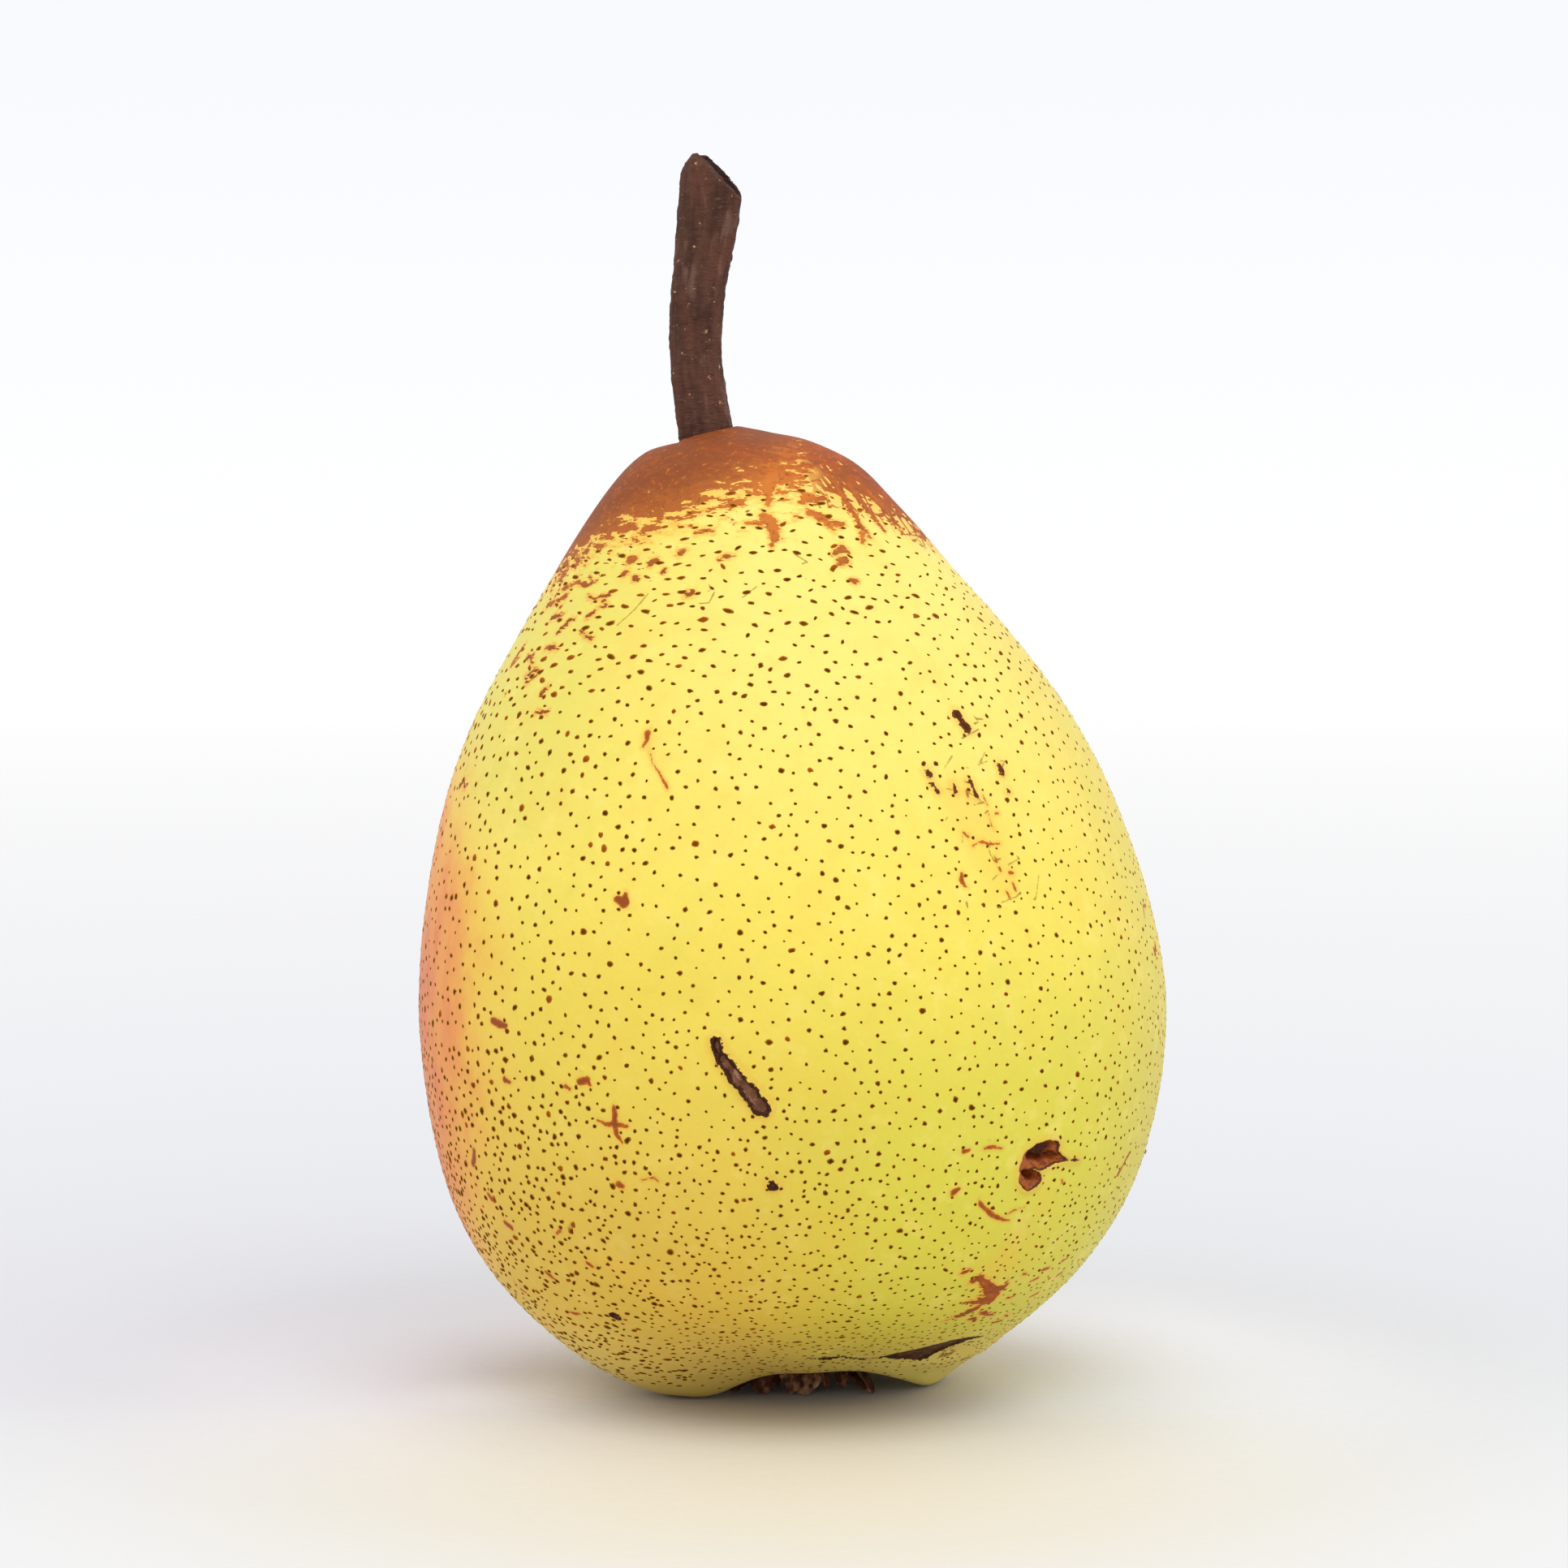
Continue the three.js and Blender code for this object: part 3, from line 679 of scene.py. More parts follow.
# %% [markdown]
# ## The skin's colours
# The skin is yellow, paler and cooler high up and deeper gold low down, with green left in it on the lower
# right and a blush where the sun reached its left side. Rusty, corky russet caps the neck: solid by the
# stalk, then torn into fingers, holes and streaks that run round the fruit, because the skin stretches that
# way as it grows. All this is laid on in layers, each with its own mask. The marks come last.

# %% Find directions and heights inside the material
skin_material, skin_shader, start, place = new_material("pear_skin")
x, y, z = place.parts()
east, south = x - AXIS[0], AXIS[1] - y
radius = (east * east + south * south).root().most(0.5)
right, ahead = east / radius, south / radius  # parts of the direction round the fruit


def towards(degrees):
    """1 on the side of the fruit that faces this direction, 0 a quarter turn away, -1 behind."""
    return right * math.sin(math.radians(degrees)) + ahead * math.cos(math.radians(degrees))


level = place.stretched(1, 1, 3.2)  # clouds in this are wide round the fruit and low
drawn = place.stretched(0.75, 0.75, 2.2)  # and in this they are drawn out to streaks
slow = place.cloud(17.0, 2.0)
mid = place.shifted((31, 7, 3)).cloud(5.0)
fine = place.shifted((5, 47, 13)).cloud(0.8)

# %% Lay the ground colours
LOW_GOLD = colour(230, 198, 72)
BELLY = colour(242, 221, 92)
HIGH_PALE = colour(248, 220, 114)
UNDERSIDE = colour(243, 222, 118)
GREEN = colour(219, 213, 74)
LEAF = colour(216, 208, 88)
TAN = colour(218, 172, 76)
ORANGE = colour(240, 192, 74)
PALE = colour(250, 230, 128)
PAINTED_SIDE_SHADE = colour(216, 198, 92)

base = z.ease(6, 42).over(LOW_GOLD, BELLY)
base = z.ease(11, 3).over(base, UNDERSIDE)
base = (z + slow * 5).ease(38, 72).over(base, HIGH_PALE)
greenish = (towards(46) + slow * 0.1).ease(0.45, 0.95) * z.ease(48, 22) * z.ease(3, 9)
base = (greenish * 0.85).over(base, GREEN)
base = ((towards(-75) + slow * 0.15).ease(0.3, 0.95) * z.ease(46, 62) * 0.6).over(base, LEAF)
# painted shade: the far right side, where the skin turns away and the light falls off, is painted a duller,
# darker yellow
base = (towards(94).ease(0.70, 0.98) * z.ease(8, 24) * z.ease(78, 66) * 0.55).over(base, PAINTED_SIDE_SHADE)
base = (mid.ease(0.0, 0.9) * 0.28).over(base, LEAF)
base = (mid.ease(-0.1, -0.9) * 0.2).over(base, ORANGE)
blotch = place.shifted((9, 3, 40)).cloud(2.4)
base = (blotch.ease(0.1, 0.9) * 0.3).over(base, PALE)
base = (blotch.ease(-0.2, -0.9) * 0.16).over(base, LOW_GOLD)
base = ((towards(-50) + slow * 0.2).ease(0.3, 0.9) * z.ease(38, 16) * 0.40).over(base, TAN)
golden = (towards(-24) + slow * 0.1).ease(0.7, 1.0) * z.ease(22, 34) * z.ease(50, 38)
base = (golden * 0.4).over(base, LOW_GOLD)
base = ((start.stored("haze") + mid * 1.2).ease(0.5, -2.0) * 0.35).over(base, ORANGE)

# %% Lay the blush
BLUSH_EDGE = colour(243, 188, 76)
BLUSH = colour(238, 146, 80)
BLUSH_RED = colour(216, 112, 84)

middle = (z - 33.0) / 25.0
runs = place.stretched(1, 1, 0.3).cloud(2.4, 2.0)  # faint runs from top to bottom
sunny = towards(-104) + 0.06 - middle * middle * 0.36 + slow * 0.04 + mid * 0.04 + blotch * 0.035
sunny = sunny + towards(180).ease(-0.1, 0.6) * (slow * 0.14 + mid * 0.1)
base = (sunny.ease(0.50, 0.78) * 0.75).over(base, BLUSH_EDGE)
base = ((sunny + runs * 0.02).ease(0.65, 0.86) * (runs * 0.12 + 0.85)).over(base, BLUSH)
base = ((sunny + runs * 0.08).ease(0.84, 1.05) * 0.7).over(base, BLUSH_RED)

# %% Lay the russet cap
RUST = colour(167, 67, 13)
RUST_DARK = colour(130, 58, 24)
RUST_LIGHT = colour(210, 118, 38)
RUST_EDGE = colour(238, 164, 58)
RUST_BROWN = colour(138, 72, 16)

front = towards(2).most(0)
above_edge = z - (front * front * 5.8 + 75.9 - towards(-90).ease(0.8, 1.0) * 1.7) + slow * 0.6
in_net = (towards(50) + mid * 0.08).ease(0.66, 0.88)
torn = level.cloud(5.0, 2.0) * 1.2 + drawn.cloud(1.15, 3.0, 0.6) * (towards(30).ease(0.5, 1.0) * 1.6 + 3.4)
deep = above_edge + torn - in_net * 5.6
cap = deep.ease(-0.16, 0.16)

# %% Tear its edge: a net on the right, streaks on the left
DOWN, ROUND, OUT = (0.54, -0.54, -0.64), (0.707, 0.707, 0.0), (0.452, -0.452, 0.764)  # on the right shoulder
NET_SCALE, NET_RANDOMNESS = 0.86, 0.95
slanted = start.node(
    "ShaderNodeCombineXYZ", None, {0: place.along(DOWN) * 0.5, 1: place.along(ROUND), 2: place.along(OUT)}
)
bands = slanted.node(
    "ShaderNodeTexVoronoi",
    {"feature": "DISTANCE_TO_EDGE"},
    {"Vector": slanted, "Scale": NET_SCALE, "Randomness": NET_RANDOMNESS},
)
thickness = above_edge * 0.045 + mid * 0.07 + 0.10
netted = (bands - thickness + fine * 0.03).ease(0.04, -0.03) * in_net
netted = netted * (above_edge + torn * 0.5).ease(-2.2, -0.8)
below = -above_edge / (towards(-75).ease(0.0, 0.8) * 5.5 + 3.2)
islands = drawn.shifted((0, 9, 0)).cloud(0.9, 2.0) - below * 0.75
islands = islands.ease(0.40, 0.50) * below.ease(1.6, 1.0)
patch = start.stored("russet") + level.cloud(0.7, 3.0, 0.65) * 0.3
rusty = cap.most(netted).most(islands).most(patch.ease(0.05, -0.05))

# %% Colour the russet
tan_side = (towards(-72) + mid * 0.2).ease(0.2, 0.9) * 0.70
rust = (mid * 0.5 + torn * 0.12 + fine * 0.25 - tan_side).ease(-0.8, 0.8).over(RUST_DARK, RUST)
near_edge = (above_edge + torn * 0.7).ease(4.6, 0.6) * above_edge.ease(-6.0, -3.0)
near_edge = near_edge * (0.72 - tan_side * 0.5 - in_net * 0.5)
bright_fleck = towards(20).ease(0.6, 0.95) * z.ease(70, 74) * above_edge.ease(-2.0, -4.0) * 0.4
bright = near_edge + torn * 0.04 + patch.ease(0.0, -0.4) * 0.2 + bright_fleck
rust = bright.least(0.8).over(rust, RUST_LIGHT)
rust = (above_edge.ease(-3.0, -6.0) * z.ease(40, 55) * 0.35).over(rust, RUST_BROWN)
specks = place.cloud(0.45, 2.0)
rust = (specks.ease(0.4, 0.9) * 0.6).over(rust, RUST_LIGHT)
rust = (specks.ease(-0.35, -0.85) * 0.7).over(rust, RUST_DARK)
amber = deep.ease(-3.0, 0.2).most(above_edge.ease(-2.0, 2.5)).most(patch.ease(0.45, 0.0))
amber = amber.most(in_net * above_edge.ease(-2.5, 0.0) * 0.7)
base = (amber * 0.7).over(base, RUST_EDGE)
base = (rusty * 0.96).over(base, rust)

# %% [markdown]
# ## The colours of the marks
# The long scar is dark at its rim and pinkish brown where the crust has dried in the middle. The small ones
# higher up are a plain warm brown. The peck mark is shiny and orange brown, with a thin dark edge and dark
# pits. Grazes are reddish, and the hair-thin lines olive. The crack is nearly black in its depth, with brown
# folds, and has small tan scabs under it. Each kind has its own raggedness, in millimetres.

# %% Lay the marks
SCAR_DARK, SCAR_MIDDLE, SCAR_PINK = colour(64, 30, 12), colour(130, 86, 60), colour(182, 136, 110)
SCAR_SMALL = colour(110, 56, 18)
PECK_ORANGE, PECK_BROWN, PECK_DARK = colour(178, 96, 40), colour(128, 58, 18), colour(80, 32, 8)
GRAZE_RED, GRAZE_DARK = colour(190, 98, 22), colour(146, 72, 18)
CRACK_DARK, CRACK_BROWN, SCAB = colour(58, 26, 12), colour(116, 70, 38), colour(152, 114, 60)
HALO, TICK_OLIVE = colour(228, 168, 66), colour(128, 100, 30)

RAGGED = {"scar": 0.2, "peck": 0.05, "pit": 0.14, "graze": 0.09, "crack": 0.2, "scab": 0.3, "tick": 0.03}
ragged = place.cloud(0.4, 3.0, 0.65)
scar, peck, pit, graze, crack, scab, tick = (
    start.stored(kind) + ragged * how_much for kind, how_much in RAGGED.items()
)

halo = scar.ease(0.8, 0.0).most(peck.ease(1.0, 0.0)).most(graze.ease(0.4, 0.0)) * 0.4
base = halo.over(base, HALO)
base = (tick.ease(0.08, -0.01) * 0.75).over(base, TICK_OLIVE)
base = graze.ease(0.05, -0.04).over(base, (graze + fine * 0.06).ease(-0.04, -0.2).over(GRAZE_RED, GRAZE_DARK))
scarred = (scar + fine * 0.12).ease(-0.28, -0.44).over(SCAR_DARK, SCAR_MIDDLE)
scarred = ((fine + ragged * 0.6).ease(0.2, 0.8) * scar.ease(-0.2, -0.4)).over(scarred, SCAR_PINK)
scarred = (z.ease(45, 50) * 0.8).over(scarred, SCAR_SMALL)
base = scar.ease(0.05, -0.03).over(base, scarred)
pecked = (fine + ragged).ease(-0.2, 0.8).over(PECK_ORANGE, PECK_BROWN)
pecked = pit.ease(0.12, -0.12).over(pecked, PECK_BROWN)
pecked = (pit + fine * 0.2).ease(-0.1, -0.4).over(pecked, PECK_DARK)
pecked = (peck.ease(-0.17, -0.09) * 0.9).over(pecked, PECK_DARK)
base = peck.ease(0.03, -0.03).over(base, pecked)
base = (scab.ease(0.1, -0.12) * 0.85).over(base, (fine + ragged * 0.5).ease(0.2, 0.9).over(SCAB, CRACK_BROWN))
folds = level.cloud(0.7, 3.0).ease(-0.5, 0.6) * crack.ease(-0.1, -0.35)
base = crack.ease(0.06, -0.04).over(base, folds.over(CRACK_DARK, CRACK_BROWN))

# %% Finish the skin's surface
crust = scar.ease(0.05, -0.05).most(scab.ease(0.05, -0.05))
coarse = crust * 0.05 + z.ease(76, 82) * 0.012 + 0.006  # how high the grain is, in millimetres
grain = place.cloud(0.5, 2.0) * coarse + place.cloud(1.6, 1.0) * 0.012
rough = 0.48 + rusty * 0.2 + crust * 0.25 - peck.ease(0.0, -0.1) * 0.2
finish_material(skin_shader, base, rough, grain, Specular_IOR_Level=0.2)


def dress(piece, material, slot, *nodes):
    """Gives the piece its material, and lets it ride on the pear in place of these solids; its slot is not
    used.
    """
    piece.data.materials.clear()
    piece.data.materials.append(material)
    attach(piece, "root")
    if nodes:
        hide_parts(*nodes)


dress(fruit, skin_material, "skin", "fruit")
print("skin material:", len(skin_material.node_tree.nodes), "nodes")

# %% [markdown]
# ## Pores
# The brown dots on a pear are corky pores. They crowd together low down on the left and lie wider apart on
# the belly, they are drawn out sideways near the top and the base, and a few are rusty and large. Each is
# modelled as a small plug, a shallow dome seated in the skin, so that it stays crisp from close by. Points
# are thrown at the skin at random, and one that falls too close to another is left out.

# %% Throw the pores at the skin
PORE_SEED = 11
PORE_TRIES = 40000
SPACING = 0.72  # how far apart pores keep, where there is about one on each square millimetre
FEWEST = 0.03  # pores on a square millimetre; where there should be fewer, there are none
PORE_CLEAR = 0.12  # how far pores keep from a blemish
rng = np.random.default_rng(PORE_SEED)

fruit.data.calc_loop_triangles()
corners = np.empty(len(fruit.data.loop_triangles) * 3, np.int32)
fruit.data.loop_triangles.foreach_get("vertices", corners)
corners = corners.reshape(-1, 3)
skin, facing = points_of(fruit.data), normals_of(fruit.data)
a, b, c = skin[corners[:, 0]], skin[corners[:, 1]], skin[corners[:, 2]]
areas = np.linalg.norm(np.cross(b - a, c - a), axis=1) / 2
chosen = rng.choice(len(areas), PORE_TRIES, p=areas / areas.sum())
u, v = rng.random((2, PORE_TRIES))
u, v = np.where(u + v > 1, 1 - u, u), np.where(u + v > 1, 1 - v, v)
weights = np.stack([1 - u - v, u, v], axis=1)
thrown = (skin[corners[chosen]] * weights[:, :, None]).sum(1)
thrown_facing = (facing[corners[chosen]] * weights[:, :, None]).sum(1)
thrown_facing /= np.linalg.norm(thrown_facing, axis=1)[:, None]


def pores_per_mm2(points):
    """How close together the pores grow: none on the russet cap, in the basin or where the pear stands."""
    degrees, height = round_and_height(points)
    from_left, from_right = np.cos(np.radians(degrees + 45)), np.cos(np.radians(degrees - 45))
    many = 0.27 + 0.50 * ease(33, 12, height) + 0.46 * ease(12, 5, height)
    many += 0.34 * ease(0.3, 0.9, from_left) * ease(42, 20, height)
    many += 0.12 * ease(0.6, 0.95, from_right) * ease(60, 45, height)
    cap_edge = 75.3 + 7.4 * np.cos(np.radians(degrees - 2)).clip(0) ** 2
    many *= ease(cap_edge + 0.5, cap_edge - 2.5, height)
    inner = np.hypot(points[:, 0] - AXIS[0], points[:, 1] - AXIS[1])
    return many * ease(1.2, 3.5, height) * np.where((inner < 13) & (height < 12), 0, 1)


density = pores_per_mm2(thrown)
clear = np.minimum.reduce([gap_to(kind, thrown) for kind in SHARP])
keep_apart = SPACING / np.sqrt(density.clip(0.02)) * rng.uniform(0.6, 1.25, PORE_TRIES)
wanted = (density > FEWEST) & (clear > PORE_CLEAR)

# %% Leave out pores that are too close to others
CELL = 1.0  # millimetres
kept, grid = [], {}
for i in np.flatnonzero(wanted):
    home = tuple((thrown[i] // CELL).astype(int))
    reach = int(math.ceil(keep_apart[i] / CELL))
    spans = [range(h - reach, h + reach + 1) for h in home]
    near = [j for gx in spans[0] for gy in spans[1] for gz in spans[2] for j in grid.get((gx, gy, gz), ())]
    if all(np.sum((thrown[i] - thrown[j]) ** 2) > keep_apart[i] ** 2 for j in near):
        kept.append(i)
        grid.setdefault(home, []).append(i)
print("pores:", len(kept))

# %% Build the plugs
PLUG_SIDES = 8
TOP, FOOT = PLUG_SIDES, PLUG_SIDES + 1  # the plug's last two points, after those of its rim
PLUG_RIM, PLUG_TOP, PLUG_FOOT = 0.01, 0.03, -0.09  # heights over the skin, in millimetres

centre, out = thrown[kept], thrown_facing[kept]
degrees, height = round_and_height(centre)
count = len(kept)
sideways = np.cross([0.0, 0.0, 1.0], out)
sideways /= np.linalg.norm(sideways, axis=1)[:, None]
upwards = np.cross(out, sideways)
rusty_side = ease(58, 72, height) * ease(-5, -45, degrees)
size = 0.165 + 0.044 * ease(50, 70, height) + 0.046 * ease(-15, -50, degrees)
size -= 0.012 * ease(10, 30, degrees)
size -= 0.012 * ease(30, 15, height) * ease(-30, -5, degrees)
size *= np.exp(rng.normal(0, 0.2, count)) * (1 - 0.1 * rusty_side)
often_large = 0.03 + 0.16 * ease(55, 74, height) + 0.05 * ease(-25, -45, degrees) + 0.2 * rusty_side
large = rng.random(count) < often_large
size = np.where(large, size * 1.35, size).clip(0.08, 0.36)
drawn_out = 1.1 + 0.9 * ease(60, 76, height) + 0.5 * ease(22, 8, height) + 0.6 * rusty_side
drawn_out += rng.normal(0, 0.2, count)
lean = rng.normal(0, 0.4, count) * (1 - 0.6 * rusty_side)
tone = np.where(large, rng.uniform(0.5, 1.0, count), rng.uniform(0, 0.5, count) + 0.5 * rusty_side)

turn = np.arange(PLUG_SIDES) / PLUG_SIDES * 2 * math.pi
wobbly = size[:, None] * (1 + rng.normal(0, 0.13, (count, PLUG_SIDES)))
longer = np.sqrt(drawn_out.clip(0.8))[:, None]
along = wobbly * np.cos(turn) * longer
across = wobbly * np.sin(turn) / longer
along, across = (
    along * np.cos(lean)[:, None] - across * np.sin(lean)[:, None],
    along * np.sin(lean)[:, None] + across * np.cos(lean)[:, None],
)
ring = centre[:, None] + along[:, :, None] * sideways[:, None] + across[:, :, None] * upwards[:, None]
ring += PLUG_RIM * out[:, None]
tops, feet = centre + PLUG_TOP * out, centre + PLUG_FOOT * out
plug_points = np.concatenate([ring, tops[:, None], feet[:, None]], axis=1).reshape(-1, 3)

each = PLUG_SIDES + 2
around = [(i, (i + 1) % PLUG_SIDES) for i in range(PLUG_SIDES)]
one_plug = np.array([(i, j, TOP) for i, j in around] + [(j, i, FOOT) for i, j in around])
plug_faces = (one_plug[None] + each * np.arange(count)[:, None, None]).reshape(-1, 3)

pore_mesh = mesh_of("pores", (plug_points * MM).tolist(), plug_faces.tolist())
pore_mesh.shade_smooth()
store(pore_mesh, "tone", np.repeat(tone, each))
store(pore_mesh, "middle", np.tile(np.arange(each) == TOP, count))
pores = add_object("pores", pore_mesh)
print("plugs:", len(pore_mesh.polygons), "triangles")

# %% [markdown]
# The plugs are thousands of separate pieces, and a tool that unfolds them for painting would waste its sheet
# on gaps. Laying them out is easy: the sheet is a grid, and each plug takes one square of it.

# %% Lay the plugs out flat
CORNER, CORNER_SIZE = 0.06, 0.04  # the hidden foot gets a small patch in the square's corner
per_row = math.ceil(math.sqrt(count))
squares = np.stack([np.arange(count) % per_row, np.arange(count) // per_row], axis=1)
flat_ring = 0.5 + 0.4 * np.stack([np.cos(turn), np.sin(turn)], axis=1)
top_flat = {i: flat_ring[i] for i in range(PLUG_SIDES)} | {TOP: np.array([0.5, 0.5])}
foot_flat = {i: CORNER + CORNER_SIZE * (flat_ring[i] - 0.5) for i in range(PLUG_SIDES)}
foot_flat[FOOT] = np.array([CORNER, CORNER])
one_flat = np.array([(top_flat if TOP in f else foot_flat)[i] for f in one_plug for i in f])
layout = (squares[:, None] + one_flat[None]) / per_row
sheet = pore_mesh.uv_layers.new(name="OFBake")
sheet.uv.foreach_set("vector", layout.astype(np.float32).ravel())

# %% Colour the pores
PORE_DARK, PORE_BROWN, PORE_RUST = colour(84, 40, 0), colour(112, 56, 0), colour(160, 78, 12)
PORE_EDGE, RUST_RING = colour(186, 132, 20), colour(206, 128, 36)
pore_material, pore_shader, start, place = new_material("pores")
shade, centred = start.stored("tone"), start.stored("middle")
speck = place.cloud(0.2, 2.0)
core = (shade + speck * 0.12).ease(0.1, 0.6).over(PORE_DARK, PORE_BROWN)
core = (shade + speck * 0.1).ease(0.65, 0.95).over(core, PORE_RUST)
ring_tone = shade.ease(0.5, 0.7).over(PORE_EDGE, RUST_RING)
pore_base = (centred + speck * 0.06).ease(0.12, 0.5).over(ring_tone, core)
finish_material(pore_shader, pore_base, 0.7 + speck * 0.05, speck * 0.004, Specular_IOR_Level=0.05)
dress(pores, pore_material, "skin")

# %% [markdown]
# ## The stalk
# The stalk is a woody shoot: dark brown, ridged lengthwise, flecked where its bark has flaked, and snapped
# off at a slant at the top. A voxel remesh gives it small even faces all over, which take ridges well.

# %% Cut the stalk into fine even faces
STALK_FACE = 0.16  # millimetres
stalk = copy_of("stalk", "pear_stalk")
remesh = stalk.modifiers.new("even", "REMESH")
remesh.mode, remesh.voxel_size = "VOXEL", STALK_FACE * MM
apply_modifiers(stalk)
print("stalk:", len(stalk.data.polygons), "faces")

# %% Find the stalk's middle line and the way round it
wood, facing = points_of(stalk.data), normals_of(stalk.data)
height = wood[:, 2]
BEND_DEGREE = 4  # of the smooth curves that follow the stalk, from left to right and from front to back
middle_line = [np.polyfit(height, wood[:, i], BEND_DEGREE) for i in (0, 1)]
from_middle = wood[:, :2] - np.stack([np.polyval(m, height) for m in middle_line], axis=1)
turn = np.arctan2(from_middle[:, 0], -from_middle[:, 1])

# %% Raise ridges, flakes and the torn end
RIDGE, LUMP, RING, FLAKE, TORN_UNEVEN = 0.055, 0.08, 0.035, 0.08, 0.16  # how high each stands
NUB_STAND = 0.32  # a small bump on the stalk's right
NUB_PLACE, NUB_SIZE = np.array([-5.55, -2.4, 96.0]), [0.6, 0.8, 0.35]
BREAK_FACING, BREAK_DEEPEST = np.array([0.68, -0.1, 0.72]), [-6.4, -0.6, 109.0]

broken = ease(0.55, 0.8, facing @ BREAK_FACING) * ease(105, 107, height)
hollow = broken * ease(-1.0, 0.1, from_middle[:, 1])
from_deepest = np.linalg.norm(wood - BREAK_DEEPEST, axis=1)
wrapped = np.stack([np.sin(turn) * 2.4, np.cos(turn) * 2.4, height / 7], axis=1)
ridges = waves(wrapped, 0.9, 5, 4)
lumps = waves(wood, 2.2, 6, 3)
flakes = waves(wood * [1, 1, 0.7], 0.9, 8, 2)
rings = waves(np.stack([np.sin(turn) * 0.8, np.cos(turn) * 0.8, height * 1.6], axis=1), 0.9, 7, 3)
rise = RIDGE * ridges + LUMP * lumps + RING * rings + 0.02
rise += FLAKE * ease(0.35, 0.8, flakes)
rise += broken * TORN_UNEVEN * waves(wood, 0.8, 9, 3) - hollow * (0.25 + 0.5 * ease(2.2, 0.6, from_deepest))
rise += NUB_STAND * np.exp(-np.sum(((wood - NUB_PLACE) / NUB_SIZE) ** 2, axis=1))
rise *= ease(80.2, 82.0, height)  # the foot in the fruit stays smooth
wood += rise[:, None] * facing
wood[:, 2] = wood[:, 2].clip(None, solid_box[1].z / MM)
move_points(stalk.data, wood)
store(stalk.data, "ridge", ridges)
store(stalk.data, "flake", flakes)
store(stalk.data, "broken", hollow)
print("stalk moved by", rise.min().round(2), "to", rise.max().round(2), "mm")

# %% Colour the stalk
BARK, BARK_DARK, BARK_RED = colour(94, 62, 49), colour(66, 42, 33), colour(104, 60, 45)
BARK_GREY, FLECK, TORN = colour(114, 86, 72), colour(204, 158, 116), colour(42, 22, 16)

stalk_material, stalk_shader, start, place = new_material("stalk_bark")
ridge, flake, torn_end = start.stored("ridge"), start.stored("flake"), start.stored("broken")
tall, flat = place.stretched(1, 1, 0.35), place.stretched(0.5, 0.5, 2.2)
mottle = place.cloud(0.9, 4.0, 0.6)
bark = (ridge * 0.7 + mottle * 0.6).ease(-0.9, 0.9).over(BARK_DARK, BARK)
bark = (tall.shifted((8, 1, 2)).cloud(2.2, 2.0).ease(-0.1, 0.9) * 0.6).over(bark, BARK_RED)
bark = ((tall.shifted((3, 9, 4)).cloud(1.8, 3.0) + ridge * 0.4).ease(0.3, 1.0) * 0.8).over(bark, BARK_GREY)
cracks = flat.cloud(0.5, 3.0, 0.6)
bark = (cracks.ease(0.4, 0.9) * 0.6).over(bark, BARK_GREY)
bark = (cracks.ease(-0.4, -0.9) * 0.8).over(bark, BARK_DARK)
flecks = (place.stretched(1, 1, 1.5).shifted((7, 7, 7)).cloud(0.9, 3.0, 0.6) + flake * 0.4).ease(0.68, 0.92)
bark = (flecks * 0.85).over(bark, FLECK)
bark = (torn_end + mottle * 0.3).ease(0.4, 0.7).over(bark, TORN)
relief = cracks * 0.05 + flecks * 0.05 + mottle * 0.03
finish_material(stalk_shader, bark, 0.8 + mottle * 0.05, relief, Specular_IOR_Level=0.15)
dress(stalk, stalk_material, "stalk", "stalk")

# %% [markdown]
# ## The calyx
# Under the fruit sits what is left of the flower: dry, curled sepals round a plug of withered stamens. The
# solid has their shape in a few faces, so rounding and wrinkles along the blades finish it. Their tips droop
# to the table. Thin shrivelled strips hang between them, too fine for the solid. Each strip is a grid of
# points on a bent line, and gets its thickness from a modifier.

# %% Round and wrinkle the calyx
calyx = copy_of("calyx", "pear_calyx")
round_off(calyx, levels=2)

CALYX_MIDDLE = np.array([1.2, -1.2])
TABLE_GAP = 0.1  # how far the dry tips stay above the table
DROOP, DROOP_FROM, DROOP_TO = 0.5, 4.0, 7.0  # how far the tips hang down, and over which distances
CALYX_WRINKLE, STRIP_WRINKLE = 0.06, 0.05


def wrinkle(piece, depth):
    """Wrinkles a dry piece along its blades, and keeps the wrinkles for its colour."""
    points, facing = points_of(piece.data), normals_of(piece.data)
    from_middle = points[:, :2] - CALYX_MIDDLE
    turn = np.arctan2(from_middle[:, 1], from_middle[:, 0])
    veins = waves(np.stack([np.cos(turn) * 9, np.sin(turn) * 9, points[:, 2] * 0.4], axis=1), 0.8, 12, 3)
    points += (depth * (veins + waves(points, 0.9, 13, 3) - 0.5))[:, None] * facing
    points[:, 2] -= DROOP * ease(DROOP_FROM, DROOP_TO, np.linalg.norm(from_middle, axis=1))
    points[:, 2] = points[:, 2].clip(TABLE_GAP)
    move_points(piece.data, points)
    store(piece.data, "wrinkle", veins)


wrinkle(calyx, CALYX_WRINKLE)
print("calyx:", len(calyx.data.polygons), "faces")

